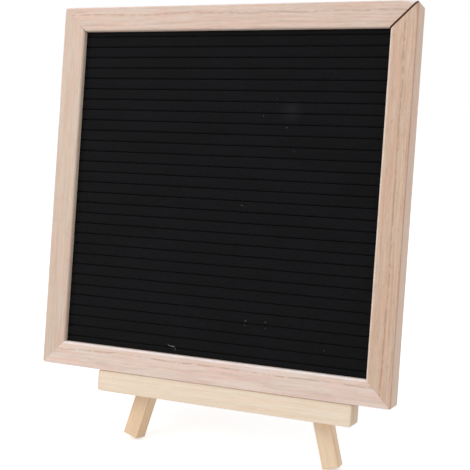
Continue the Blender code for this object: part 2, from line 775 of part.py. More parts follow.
def hinge_screws(name, side, leaf, wood, parent):
    """Two countersunk screws through a leaf into the wood behind it."""
    sizes = (HINGE_SCREW_R, HINGE_SCREW_HEAD_R, HINGE_SCREW_HEAD, HINGE_SCREW_LENGTH)
    face = side * (KNUCKLE_R - LEAF_THICKNESS)
    turn = (math.pi, 0, 0) if side > 0 else (0, 0, 0)
    for number, drop in enumerate(HINGE_SCREWS, start=1):
        place = (0, face, -drop)
        screw = countersunk_screw(*sizes)
        piece(f"{name}_{number}", screw, brass_plate(), parent, place, turn, smooth=True)
        tool = cutter(f"{name}_hole_{number}", screw_hole(*sizes), parent, place, turn)
        cut(leaf, tool)
        cut(wood, tool)


def hinge_pin():
    """The pin with a formed head at each end, along Y before it is turned."""
    half = HINGE_LENGTH / 2 + GAP
    return turned([
        (HINGE_PIN_HEAD_R, -half - HINGE_PIN_HEAD),
        (HINGE_PIN_HEAD_R, -half),
        (HINGE_PIN_R, -half),
        (HINGE_PIN_R, half),
        (HINGE_PIN_HEAD_R, half),
        (HINGE_PIN_HEAD_R, half + HINGE_PIN_HEAD),
    ])


def rear_leg_stick(parent):
    """The rear leg about the pin: a square stick, planed off in front above the pin.

    The planed face is parallel to the head block when the leg stands open, so that it
    bears flat on the block and stops the leg there.
    """
    front, foot = REAR_LEG_FRONT, -rear_leg_length()
    sine, cosine = math.sin(OPENING), math.cos(OPENING)
    bevel_start = Vector((0, front, (front * cosine + KNUCKLE_R) / sine))
    bevel_end = Vector((0, (REAR_LEG_TOP * sine - KNUCKLE_R) / cosine, REAR_LEG_TOP))
    low, high = (-STICK / 2, front), (STICK / 2, front + STICK)
    bm = eased_bar("Z", low, high, STICK_EDGE_R, foot, REAR_LEG_TOP, FOOT_EDGE_R, 0)
    run = bevel_end - bevel_start
    slice_off(bm, bevel_start, (0, -run.z, run.y))
    return piece("rear_leg", bm, easel_wood(), parent, smooth=True)


def build_rear_leg(plane, block):
    """The hinge on the head block and the leg that swings on it."""
    fixed_end = empty("hinge_axis", (EASEL_X, HINGE_Y, HINGE_Z), 0.0, plane)
    swinging = empty("rear_leg_axis", (EASEL_X, HINGE_Y, HINGE_Z), OPENING, plane)
    spans = knuckle_spans()
    fixed = hinge_leaf("hinge_fixed_leaf", -1, [spans[1]], fixed_end)
    moving = hinge_leaf("hinge_moving_leaf", 1, [spans[0], spans[2]], swinging)
    pin_turn = (0, 0, math.pi / 2)
    piece("hinge_pin", hinge_pin(), brass_plate(), fixed_end, turn=pin_turn, smooth=True)
    leg = rear_leg_stick(swinging)
    hinge_screws("hinge_fixed_screw", -1, fixed, block, fixed_end)
    hinge_screws("hinge_moving_screw", 1, moving, leg, swinging)


def stand_on_floor(root):
    """Moves the whole object so that its box stands on the floor about the origin."""
    bpy.context.view_layer.update()
    graph = bpy.context.evaluated_depsgraph_get()
    low = Vector((math.inf,) * 3)
    high = Vector((-math.inf,) * 3)
    for made in bpy.data.objects:
        if made.type != "MESH" or made.hide_render:
            continue
        shown = made.evaluated_get(graph)
        for vertex in shown.data.vertices:
            place = shown.matrix_world @ vertex.co
            low = Vector(map(min, low, place))
            high = Vector(map(max, high, place))
    root.location.y -= (low.y + high.y) / 2
    root.location.z -= low.z
    bpy.context.view_layer.update()


def main():
    clear_scene()
    root = empty("letter_board", (0, 0, foot_level()))
    plane = empty("leaning_plane", (0, 0, 0), -LEAN, root)
    frame = build_frame(plane)
    build_corner_nails(plane, frame)
    build_panel(plane)
    build_tabs(plane, frame)
    build_hanger(plane, frame)
    legs = build_front_legs(plane)
    ledge = build_ledge(plane)
    build_ledge_screws(plane, legs, ledge)
    block = build_head_block(plane, legs)
    build_rear_leg(plane, block)
    stand_on_floor(root)


main()
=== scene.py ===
import json
import math

import bpy
import numpy as np
from bpy.props import FloatProperty, FloatVectorProperty, IntProperty, PointerProperty
from mathutils import Matrix, Vector


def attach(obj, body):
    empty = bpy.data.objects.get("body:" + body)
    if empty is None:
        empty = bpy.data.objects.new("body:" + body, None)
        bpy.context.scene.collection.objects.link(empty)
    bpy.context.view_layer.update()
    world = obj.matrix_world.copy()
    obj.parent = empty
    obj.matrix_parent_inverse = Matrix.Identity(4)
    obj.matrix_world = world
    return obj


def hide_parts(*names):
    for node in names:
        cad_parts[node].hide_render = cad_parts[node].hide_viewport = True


bl_info = {
    "name": "Felt letter board",
    "version": (1, 0, 0),
    "blender": (4, 5, 0),
    "location": "3D View > Sidebar > Letter board",
    "description": "Dresses the CAD frame of a felt letter board on a folding wooden easel",
    "category": "Object",
}

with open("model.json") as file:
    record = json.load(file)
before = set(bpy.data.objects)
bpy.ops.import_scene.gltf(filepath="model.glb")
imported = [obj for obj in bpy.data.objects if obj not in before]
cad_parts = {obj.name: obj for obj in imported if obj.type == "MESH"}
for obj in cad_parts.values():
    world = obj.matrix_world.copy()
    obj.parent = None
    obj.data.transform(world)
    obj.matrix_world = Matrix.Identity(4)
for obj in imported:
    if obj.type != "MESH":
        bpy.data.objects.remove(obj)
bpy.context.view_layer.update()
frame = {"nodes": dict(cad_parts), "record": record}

FRONT_BODY = "standing_front"
LEG_BODY = "swinging_leg"
QUARTER_TURN = math.pi / 2

# Where the board stands. The record's mount on the frame's back gives the board's lean
# and the leaning plane: X to the right, Y into the board, Z up along it, with Y = 0 at
# the moulding's front face and Z = 0 at the ledge's top.
MOUNT = next(m for m in frame["record"]["mounts"] if m["name"] == "frame_back")
MOUNT_IN_PLANE = Vector((0.1435, 0.0220, 0.1503))
LEAN = math.atan2(-MOUNT["axis"][2], MOUNT["axis"][1])
TILT = Matrix.Rotation(-LEAN, 4, "X")
PLANE = Matrix.Translation(Vector(MOUNT["pos_m"]) - TILT @ MOUNT_IN_PLANE) @ TILT
ALONG_Z = Matrix.Rotation(QUARTER_TURN, 4, "Y")


# Settings that a user would change


def length(name, description, default):
    return FloatProperty(
        name=name, description=description, default=default, min=0.0, precision=5,
        subtype="DISTANCE", unit="LENGTH",
    )


def angle(name, description, degrees):
    return FloatProperty(
        name=name, description=description, default=math.radians(degrees),
        subtype="ANGLE", unit="ROTATION",
    )


def power(name, description, default):
    return FloatProperty(
        name=name, description=description, default=default, min=0.0,
        subtype="POWER", unit="POWER",
    )


def colour(name, description, default):
    return FloatVectorProperty(
        name=name, description=description, default=default, size=3, min=0.0, max=1.0,
        subtype="COLOR",
    )


class FrameSettings(bpy.types.PropertyGroup):
    """Sizes and colours of the picture frame"""

    side: length("Side", "Outside of the square frame", 0.300)
    width: length("Moulding width", "Face of the moulding", 0.020)
    depth: length("Moulding depth", "Front to back", 0.022)
    sight_round: length("Sight edge round", "Round on the inner front edge", 0.0020)
    outer_round: length("Outer edge round", "Round on the outer front edge", 0.0012)
    back_round: length("Back edge round", "Round on the outer back edge", 0.0010)
    corner: length("Corner round", "Round of the board's corners", 0.0015)
    lip: length("Lip", "Wood in front of the rabbet", 0.0047)
    rabbet: length("Rabbet", "How far the rabbet reaches under the face", 0.0070)
    open_mitre: length("Open mitre", "Gap of the top right mitre", 0.0014)
    closed_mitre: length("Closed mitre", "Gap of the other three mitres", 0.00003)
    clearance: length("Clearance", "Gap between the ledge and the frame", 0.0003)
    light: colour("Light wood", "Wood between the grain lines", (0.78, 0.61, 0.50))
    dark: colour("Dark wood", "Wood in the grain lines", (0.545, 0.372, 0.275))


class FeltSettings(bpy.types.PropertyGroup):
    """Sizes and colours of the felt face"""

    panel: length("Panel", "Side of the square panel in the rabbet", 0.273)
    front: length("Front", "Felt behind the moulding's front face", 0.0050)
    thickness: length("Thickness", "Thickness of the felt", 0.00075)
    grooves: IntProperty(
        name="Slots", description="Letter slots in the sight opening", default=30, min=1
    )
    first: length("First slot", "First slot above the lower sight edge", 0.0049)
    slot_width: length("Slot width", "Between the slot's two walls", 0.0005)
    slot_depth: length("Slot depth", "Depth of a slot", 0.0045)
    lip_round: length("Lip round", "Round where the felt turns into a slot", 0.0016)
    crown: length("Crown", "Rise of the felt at the middle of a rib", 0.0002)
    black: colour("Black", "Felt in its hollows", (0.0050, 0.0050, 0.0054))
    grey: colour("Grey", "Fibres that catch the light", (0.0106, 0.0106, 0.0122))
    lint: colour("Lint", "Light threads caught on the felt", (0.42, 0.40, 0.38))


class EaselSettings(bpy.types.PropertyGroup):
    """Sizes and colours of the easel"""

    stick: length("Stick", "Square section of the legs", 0.014)
    leg_turn: angle("Leg turn", "How far a front leg's face is turned outwards", 4.0)
    stick_round: length("Stick edge round", "Round on a leg's long edges", 0.0012)
    foot_round: length("Foot round", "Round on the edges of a foot", 0.0008)
    middle: length("Middle", "Easel to the right of the board's middle", 0.0137)
    top: length("Top", "Tops of the front legs above the ledge's top", 0.264)
    apex_drop: length("Apex drop", "Where the legs' middle lines meet, below the tops", 0.0035)
    foot_spread: length("Foot spread", "Between the middles of the front feet", 0.1748)
    foot_drop: length("Foot drop", "Ledge's top to the middle of a foot", 0.0555)
    ledge_length: length("Ledge length", "Left to right", 0.2176)
    ledge_depth: length("Ledge depth", "Front to back", 0.0195)
    ledge_height: length("Ledge height", "Bottom to top", 0.0174)
    ledge_round: length("Ledge edge round", "Round on the ledge's long edges", 0.0013)
    ledge_end_round: length("Ledge end round", "Round on the ledge's ends", 0.0022)
    ledge_shift: length("Ledge shift", "Ledge to the left of the easel's middle", 0.0018)
    block_height: length("Block height", "Head block, bottom to top", 0.060)
    block_depth: length("Block depth", "Head block, front to back", 0.010)
    block_round: length("Block edge round", "Round on the head block's edges", 0.0010)
    opening: angle("Opening", "Between the front legs and the standing rear leg", 28.0)
    hinge_drop: length("Hinge drop", "Pin below the easel's top", 0.019)
    rear_top: length("Rear leg top", "Rear leg above the pin", 0.014)
    knuckle: length("Knuckle", "Radius of the hinge's knuckles", 0.00185)
    leaf: length("Leaf thickness", "Thickness of the hinge's leaves", 0.0008)
    light: colour("Light wood", "Wood between the grain lines", (0.86, 0.71, 0.54))
    dark: colour("Dark wood", "Wood in the grain lines", (0.66, 0.47, 0.29))


class StageSettings(bpy.types.PropertyGroup):
    """Camera, lamps and floor"""

    focal: FloatProperty(
        name="Focal length", description="Lens of the camera on a 36 mm sensor",
        default=73.68, min=1.0,
    )
    place: FloatVectorProperty(
        name="Camera", description="Where the camera stands", size=3, precision=4,
        default=(0.3031, -0.7612, 0.3142), subtype="TRANSLATION", unit="LENGTH",
    )
    down: angle("Look down", "How far the camera looks down", 10.27)
    aside: angle("Look aside", "How far the camera is turned to the left", 22.69)
    sky: FloatProperty(
        name="Sky", description="Strength of the even light all round", default=0.70, min=0.0,
    )
    key: power("Key lamp", "Power of the lamp at the upper left", 7.5)
    fill: power("Fill lamp", "Power of the lamp at the right", 2.5)
    floor: colour("Floor", "Colour of the floor", (0.90, 0.90, 0.90))


class BoardSettings(bpy.types.PropertyGroup):
    """All settings of the letter board"""

    frame: PointerProperty(type=FrameSettings)
    felt: PointerProperty(type=FeltSettings)
    easel: PointerProperty(type=EaselSettings)
    stage: PointerProperty(type=StageSettings)


def settings():
    return bpy.context.scene.letter_board


# Shapes


def move(points, matrix):
    """Points times the matrix's 3x3 part, plus its translation, as whole arrays."""
    grid = np.array(matrix, float)
    return points @ grid[:3, :3].T + grid[:3, 3]


def make_object(name, points, faces, values=None, sharp=35.0):
    """A shaded object whose place is in its mesh. Values are numbers kept on the points."""
    mesh = bpy.data.meshes.new(name)
    mesh.from_pydata(points.reshape(-1, 3).tolist(), [], faces)
    for label, numbers in (values or {}).items():
        kept = mesh.attributes.new(label, "FLOAT", "POINT")
        kept.data.foreach_set("value", np.asarray(numbers, np.float32).ravel())
    mesh.validate()
    mesh.shade_smooth()
    mesh.set_sharp_from_angle(angle=math.radians(sharp))
    made = bpy.data.objects.new(name, mesh)
    bpy.context.scene.collection.objects.link(made)
    return made


def loft_faces(stations, around, ends="zip"):
    """Faces of a closed profile carried along a path.

    Face (s, p) joins points p and p+1 of rings s and s+1. The ends are one face each, or
    zipped: point p of the front half is joined to point -1-p of the back.
    """
    s = np.arange(stations - 1)[:, None] * around
    p = np.arange(around)[None, :]
    q = (p + 1) % around
    faces = np.stack([s + p, s + q, s + around + q, s + around + p], -1).reshape(-1, 4).tolist()
    last = (stations - 1) * around
    if ends == "zip":
        p = np.arange(around // 2 - 1)
        mirror = around - 1 - p
        start = np.stack([p, mirror, mirror - 1, p + 1], -1)
        faces += start.tolist() + (start[:, ::-1] + last).tolist()
    elif ends == "one":
        ring = np.arange(around)
        faces += [ring[::-1].tolist(), (ring + last).tolist()]
    return faces


def outward(points, faces):
    """Turns all faces over if the closed shape's signed volume comes out negative."""
    flat = points.reshape(-1, 3)
    quads = np.array([f for f in faces if len(f) == 4])
    a, b, c, d = (flat[quads[:, i]] for i in range(4))
    volume = np.sum(a * (np.cross(b, c) + np.cross(c, d)))
    return faces if volume > 0 else [f[::-1] for f in faces]


def loft(name, points, place, values=None, ends="zip", sharp=35.0):
    """An object from a grid of points, one ring to a row, set in place."""
    world = move(points, place)
    faces = outward(world, loft_faces(*world.shape[:2], ends))
    return make_object(name, world, faces, values, sharp)


def waver(along, seed, wavelength):
    """Smooth wandering between about -1 and 1.

    The sum of four sines of the way along, each 1.7 times as fast as the last and 0.6
    times as high, with phases drawn from the seed, over 2.2.
    """
    draw = np.random.default_rng(seed)
    total = np.zeros_like(np.asarray(along, float))
    for i in range(4):
        turn = 2 * np.pi * (along / wavelength * 1.7 ** i + draw.random())
        total += 0.6 ** i * np.sin(turn)
    return total / 2.2


def stick_profile(half_a, half_b, radius, inner, steps=6):
    """A rectangle with rounded corners, as (a, b) and how far each point is on a round.

    The front half runs from a = -half_a to half_a. A corner point is the corner's centre
    plus radius times (cos q, sin q), for q from 0 to a quarter turn. Between the corners
    lie the inner points, at the given shares of the flat. The back half is the front
    half mirrored in b, in reverse. Half sizes and radius may be columns, one per station.
    """
    q = np.linspace(0, np.pi / 2, steps + 1)
    flat_a, flat_b = half_a - radius, half_b - radius
    front_a = np.hstack([
        -flat_a - radius * np.cos(q),
        flat_a * inner,
        flat_a + radius * np.cos(q[::-1]),
    ])
    depth = -flat_b - radius * np.sin(q)
    level = -half_b + 0 * radius * inner
    front_b = np.hstack([depth, level, depth[:, ::-1]])
    a = np.hstack([front_a, front_a[:, ::-1]])
    b = np.hstack([front_b, -front_b[:, ::-1]])
    round_share = np.sin(2 * q)
    half = np.hstack([round_share, 0 * inner, round_share[::-1]])
    return a, b, np.hstack([half, half[::-1]])


def end_rounds(start_round, end_round, steps=5):
    """Insets of the stations at a bar's two ends.

    A station at q, from a quarter turn to 0, lies r(1 - sin q) from the end and its
    section is smaller by r(1 - cos q).
    """
    q = np.linspace(np.pi / 2, 0, steps + 1)
    way, inset = 1 - np.sin(q), 1 - np.cos(q)
    return (start_round * way, start_round * inset), (end_round * way, end_round * inset)


def stick(name, halves, radius, start, end, rounds, place, seed, crease=0.0, cut=None,
          widen=0.0, crisp=1.0, rim=0.0):
    """A wooden stick along its own Z axis, lightly uneven along its edges, set in place.

    Station t runs from start to end. Its section is a rounded rectangle of the given
    half sizes, whose corner radius wavers by 12% along the stick. Where cut is given, the
    stick ends at cut(a, b): the way along is start + (cut - start) times its share, so
    the end follows the cut, which bends where a is a crease. Widen is the change of
    half_a per metre along, crisp the share of the ends' rounds that the b faces get. Rim
    is how much painted shade the +a side gets: half of it on the flat, more on its rounded
    edges. The other rounded edges and the ends' rounds get sanded wear and a painted
    highlight, and the ends darker end grain.
    """
    spacing, least_round = 0.006, 0.00012
    (s_way, s_inset), (e_way, e_inset) = end_rounds(*rounds)
    steps = max(int((end - start) / spacing), 8)
    body = np.linspace(start + rounds[0], end - rounds[1], steps + 1)
    rounded = slice(1, None) if rounds[1] > 0 else slice(0)
    t = np.concatenate([start + s_way[:-1], body, end - e_way[::-1][rounded]])[:, None]
    inset = np.concatenate([s_inset[:-1], 0 * body, e_inset[::-1][rounded]])[:, None]
    shares = np.append(np.linspace(-1, 1, 9)[1:-1], crease / (halves[0] - radius))
    corner = radius * (1 + 0.12 * waver(t, seed, wavelength=0.07)) - inset
    corner = np.maximum(corner, least_round)
    half_a = halves[0] - inset + widen * (t - start)
    a, b, eased = stick_profile(half_a, halves[1] - crisp * inset, corner, np.unique(shares))
    way = t + 0 * a
    if cut is not None:
        way = start + (cut(a, b) - start) * (t - start) / (end - start)
    near_end = np.clip(1 - (t - start) / rounds[0] + 0 * a, 0, 1)
    if rounds[1] > 0:
        near_end = np.maximum(near_end, np.clip(1 - (end - t) / rounds[1], 0, 1))
    else:
        near_end[-1] = 1.0
    # edge: lighter rounded edges and end rounds, for sanded wear and painted highlight; shaded:
    # painted shade on the +a side; end: end grain and that painted shade
    edge = np.maximum(eased, np.sin(np.pi * near_end))
    beside = np.clip((a - half_a + corner) / corner, 0, 1)
    shaded = rim * (0.5 * beside + 0.5 * eased * (a > 0))
    values = {"edge": edge * (shaded == 0), "end": np.maximum(near_end, shaded)}
    return loft(name, np.stack([a, b, way], -1), place, values)


# Frame


def board_centre(s):
    """Axes of the board: its origin in the middle of the frame's front."""
    return PLANE @ Matrix.Translation((0, 0, s.clearance + s.side / 2))


def moulding_profile(s, sight_round, outer_round):
    """Section of the moulding: depth y from the front and distance w out from the sight edge.

    Each rounded corner is its centre plus r(cos q, sin q). In order: the sight edge, the
    front face, the outer front edge, the outer face, the outer back edge, the back, and
    the rabbet's two walls. Radii are columns, one per station.
    """
    q = np.linspace(0, np.pi / 2, 9)
    r, ro, rb = sight_round, outer_round, s.back_round
    face = np.linspace(0.08, 0.92, 7)
    one = np.ones_like(r)
    flat = r + (s.width - r - ro) * face
    y = np.hstack([
        r * (1 - np.sin(q)),
        0 * flat,
        ro * (1 - np.cos(q)),
        one * np.linspace(0.3, 0.7, 3) * s.depth,
        one * (s.depth - rb + rb * np.sin(q[::2])),
        one * [s.depth, s.lip, s.lip],
    ])
    w = np.hstack([
        r * (1 - np.cos(q)),
        flat,
        s.width - ro + ro * np.sin(q),
        one * ([s.width] * 3),
        one * (s.width - rb + rb * np.cos(q[::2])),
        one * [s.rabbet, s.rabbet, 0.0],
    ])
    eased = np.sin(2 * q)
    inner = np.concatenate([eased, [0] * (len(y[0]) - 9)])
    outer = np.concatenate([[0] * 16, eased, [0] * 3, eased[::2], [0] * 3])
    return y, w, inner, outer


def rail(name, s, turn, left, right, seed, sight_highlight, rim):
    """One side of the frame, carried along its length and mitred at both ends.

    It is worked out as a top rail about the board's centre. Point (t, p) has its depth
    at y, its height z at half the sight opening plus w, and x = t times the mitre's
    reach, which is z less the corner's gap. Left and right are rows of the corners'
    table. Points beyond the corner round are drawn in towards its centre, as far as the
    profile's own edge round asks. The edges' rounds waver by 10%. The whole is then
    turned about the board's normal. The sight edge's number and rim say how much painted
    highlight, with sanded wear, the inner and outer edges get, or painted shade if below 0.
    """
    # how far from a corner the stations crowd and its rounder front edge reaches, and
    # the least round of a corner
    crowded, rounder, least_round = 0.0040, 0.006, 0.0001
    sight = s.side / 2 - s.width
    close = 1 - crowded / (s.side / 2) * np.linspace(0, 1, 9)[:-1] ** 1.5
    t = np.concatenate([-close, np.linspace(-0.96, 0.96, 57), close[::-1]])[:, None]
    sight_round = s.sight_round * (1 + 0.10 * waver(t, seed, wavelength=0.45))
    outer_round = s.outer_round * (1 + 0.10 * waver(t, seed + 1, wavelength=0.35))
    knock = np.where(t < 0, left[4], right[4])
    outer_round += knock * np.exp(-((1 - np.abs(t)) * s.side / 2 / rounder) ** 2)
    y, w, inner, outer = moulding_profile(s, sight_round, outer_round)
    z = sight + w
    reaches = [z - (base + more * np.exp(-w / over)) / math.sqrt(2)
               for base, more, over, *_ in (left, right)]
    x = t * np.where(t < 0, *reaches)
    for sign, r in ((-1, left[3]), (1, right[3])):
        centre = s.side / 2 - r
        over_x, over_z = sign * x - centre, z - centre
        far = np.hypot(over_x, over_z)
        room = np.maximum(r - (s.width - w), least_round)
        pull = np.where((over_x > 0) & (over_z > 0) & (far > room), room / far, 1.0)
        x = np.where(pull < 1, sign * (centre + over_x * pull), x)
        z = np.where(pull < 1, centre + over_z * pull, z)
    stained = np.where(t < 0, left[0], right[0]) / s.open_mitre * (np.abs(t) == 1)
    # painted highlight with sanded wear on the inner and outer edges, or painted shade on an
    # outer edge whose rim is below 0
    light = sight_highlight * inner + max(rim, 0.0) * outer
    dark = max(-rim, 0.0) * outer
    values = {"edge": light + 0 * x, "end": np.maximum(stained, dark + 0 * x)}
    place = board_centre(s) @ Matrix.Rotation(turn, 4, "Y")
    return loft(name, np.stack([x, y, z], -1), place, values, ends="one")


def corner_nail(name, s, sx, sz):
    """A V nail seen end on: a bent strip, 0.04 mm proud of the frame's back.

    Both arms start at the apex on the mitre. The outline's outer line runs arm, apex,
    arm, and the inner line runs back, moved in by the thickness. The second arm is the
    first with its two coordinates changed over.
    """
    arm, half, seat, drive, proud, eased = 0.0060, 0.00025, 0.0110, 0.0100, 0.00004, 0.00005
    outer = np.array([(-arm, half), (-arm / 2, 1.2 * half), (0.5 * half, half)])
    inner = np.array([(-arm, -half), (-arm / 2, -0.8 * half), (-1.2 * half, -half)])
    outline = np.vstack([outer, outer[::-1, ::-1], inner[:, ::-1], inner[::-1]]) * (sx, sz)
    depth = s.depth + np.array([-drive, -eased, proud])[:, None]
    shrink = np.array([1.0, 1.0, 0.985])[:, None]
    apex = s.side / 2 - s.width + seat
    x = outline[:, 0] * shrink + sx * apex
    z = outline[:, 1] * shrink + sz * apex
    return loft(name, np.stack([x, depth + 0 * x, z], -1), board_centre(s))


# Felt


def felt_profile(s, f):
    """One line over all ribs and slots.

    Its rows are the depth y, the height z, the outward normal's two parts, whether the
    point is in a slot's floor, and the slot's number. Over a rib the depth is the
    shoulder's less crown times the sine of the way across the rib. Each slot is a
    quarter circle of the lip's radius into the slot, a wall, a half circle of half the
    slot's width as its floor, a wall, and a quarter circle out.
    """
    sight = s.side / 2 - s.width
    wall, lip = f.slot_width / 2, f.lip_round
    pitch = 2 * sight / f.grooves
    shoulder = f.front + f.crown
    floor = f.front + f.slot_depth
    q = np.linspace(0, np.pi / 2, 6)
    h = np.linspace(-np.pi / 2, np.pi / 2, 6)
    rib = np.linspace(0, 1, 6)[1:-1]
    reach = pitch - 2 * (wall + lip)
    y = np.concatenate([
        shoulder + lip * (1 - np.cos(q)),
        floor - wall + wall * np.cos(h),
        shoulder + lip * (1 - np.cos(q[::-1])),
        shoulder - f.crown * np.sin(np.pi * rib),
    ])
    z = np.concatenate([
        -wall - lip + lip * np.sin(q),
        wall * np.sin(h),
        wall + lip - lip * np.sin(q[::-1]),
        wall + lip + reach * rib,
    ])
    ny = np.concatenate([-np.cos(q), -np.cos(h), -np.cos(q[::-1]), -1 + 0 * rib])
    nz = np.concatenate([np.sin(q), -np.sin(h), -np.sin(q[::-1]), 0 * rib])
    deep = np.concatenate([0 * q, 0 * h + 1, 0 * q, 0 * rib])
    rows = np.tile(np.stack([y, z, ny, nz, deep, 0 * y]), f.grooves)
    rows[5] = np.repeat(np.arange(f.grooves), len(y))
    rows[1] += f.first - sight + pitch * rows[5]
    lower = [shoulder, -f.panel / 2, -1, 0, 0, 0]
    upper = [shoulder, f.panel / 2, -1, 0, 0, f.grooves - 1]
    return np.column_stack([lower, rows[:, :-len(rib)], upper])


def felt_sheet(s, f):
    """The felt as one closed sheet: the line of felt_profile carried from left to right.

    Rib i at x stands forward or back by 0.05 mm times a wavering of its own, and its
    slot wanders up and down by 0.07 mm times another. The sheet's back is its front
    moved in along the normal by the felt's thickness, so it is equally thick everywhere.
    """
    y, z, ny, nz, deep, index = felt_profile(s, f)
    x = np.linspace(-f.panel / 2, f.panel / 2, 57)[:, None]
    index = index.astype(int)
    uneven = np.hstack([waver(x, 100 + i, wavelength=0.06) for i in range(f.grooves)])
    wander = np.hstack([waver(x, 200 + i, wavelength=0.11) for i in range(f.grooves)])
    depth = y + 0.00005 * uneven[:, index] * (1 - deep)
    height = z + 0.00007 * wander[:, index]
    height[:, 0], height[:, -1] = z[0], z[-1]
    front = np.stack([x + 0 * depth, depth, height], -1)
    back = front - np.stack([0 * y, ny, nz], -1) * f.thickness
    points = np.concatenate([front, back[:, ::-1]], 1)
    return loft("felt_cloth", points, board_centre(s), sharp=60.0)


def thread(name, knots, radius, f):
    """A thread of lint that lies on the felt's front.

    The knots, pairs on the board, are joined by a smooth curve, the sum of each knot
    times a bell weight. A circle of the thread's radius, which thins to a third at both
    ends, is carried along it.
    """
    rings, bell = 6 * len(knots), 0.62
    t = np.linspace(0, 1, rings)[:, None]
    at = np.linspace(0, 1, len(knots))[None, :]
    weight = np.exp(-((t - at) * (len(knots) - 1) / bell) ** 2)
    path = (weight / weight.sum(1, keepdims=True)) @ knots
    lift = f.front - radius * (1.2 + 1.5 * np.abs(np.sin(5 * t[:, 0])))
    centre = np.stack([path[:, 0], lift, path[:, 1]], -1)
    along = np.gradient(centre, axis=0)
    along /= np.linalg.norm(along, axis=1, keepdims=True)
    side = np.cross(along, (0.0, 1.0, 0.0))
    side /= np.linalg.norm(side, axis=1, keepdims=True)
    other = np.cross(side, along)
    q = np.linspace(0, 2 * np.pi, 6, endpoint=False)
    thin = radius * (0.33 + 0.67 * np.sin(np.pi * np.clip(t, 0.02, 0.98)) ** 0.5)
    ring = side[:, None] * np.cos(q)[:, None] + other[:, None] * np.sin(q)[:, None]
    return loft(name, centre[:, None] + ring * thin[:, :, None], PLANE)


# Screws

# radius of the head and of the shank, height of the head, how far it stands proud and
# how deep its cross is
STEEL_SCREW = (0.0026, 0.0013, 0.0015, 0.00012, 0.0009)
HINGE_SCREW = (0.0016, 0.0008, 0.0007, 0.00005, 0.0005)


def screw(name, size, whole, place):
    """A countersunk wood screw with a cross recess, pointing along its own -Y.

    Ring k has radius r and depth y. Inside the head the surface sinks where the point is
    in one of the cross's two arms: depth is cross times a smooth step of the arm's half
    width and length. Down the shank the radius swings with the thread, whose phase is
    the turn about the axis plus the way along over its pitch.
    """
    head_r, shank_r, head, proud, cross = size
    turn = np.linspace(0, 2 * np.pi, 64, endpoint=False)[None, :]
    inner = np.linspace(0.01, 0.97, 22)[:, None] * head_r
    x, z = inner * np.cos(turn), inner * np.sin(turn)
    wide, far = 0.15 * head_r, 0.62 * head_r

    def arm(u, v):
        across = np.clip((wide - np.abs(u)) / (0.35 * wide) + 0.5, 0, 1)
        along = np.clip((far - np.abs(v)) / (0.30 * far) + 0.2, 0, 1)
        return across * along

    sunk = np.maximum(arm(x, z), arm(z, x))
    flat = proud * (1 - (inner / head_r) ** 4 * 0.3)
    top = np.stack([x, flat - cross * sunk, z], -1)
    t = np.linspace(0, 1, 40)[:, None]
    way = head / 6 + (whole - head / 6) * t
    neck = np.clip((way - head / 6) / (head - head / 6), 0, 1)
    core = head_r + (shank_r * 0.92 - head_r) * neck
    tip = np.clip((whole - way) / (2.5 * shank_r), 0.05, 1)
    thread_on = np.clip((way - 0.35 * whole) / (0.1 * whole), 0, 1)
    ridge = 0.16 * shank_r * np.sin(turn + 2 * np.pi * way / (1.4 * shank_r)) * thread_on
    r = (core + ridge) * tip
    rim = np.stack([head_r * np.cos(turn), 0 * turn + proud * 0.5, head_r * np.sin(turn)], -1)
    shank = np.stack([r * np.cos(turn), -way + 0 * turn, r * np.sin(turn)], -1)
    return loft(name, np.concatenate([top, rim, shank]), place, ends="one")


# Materials


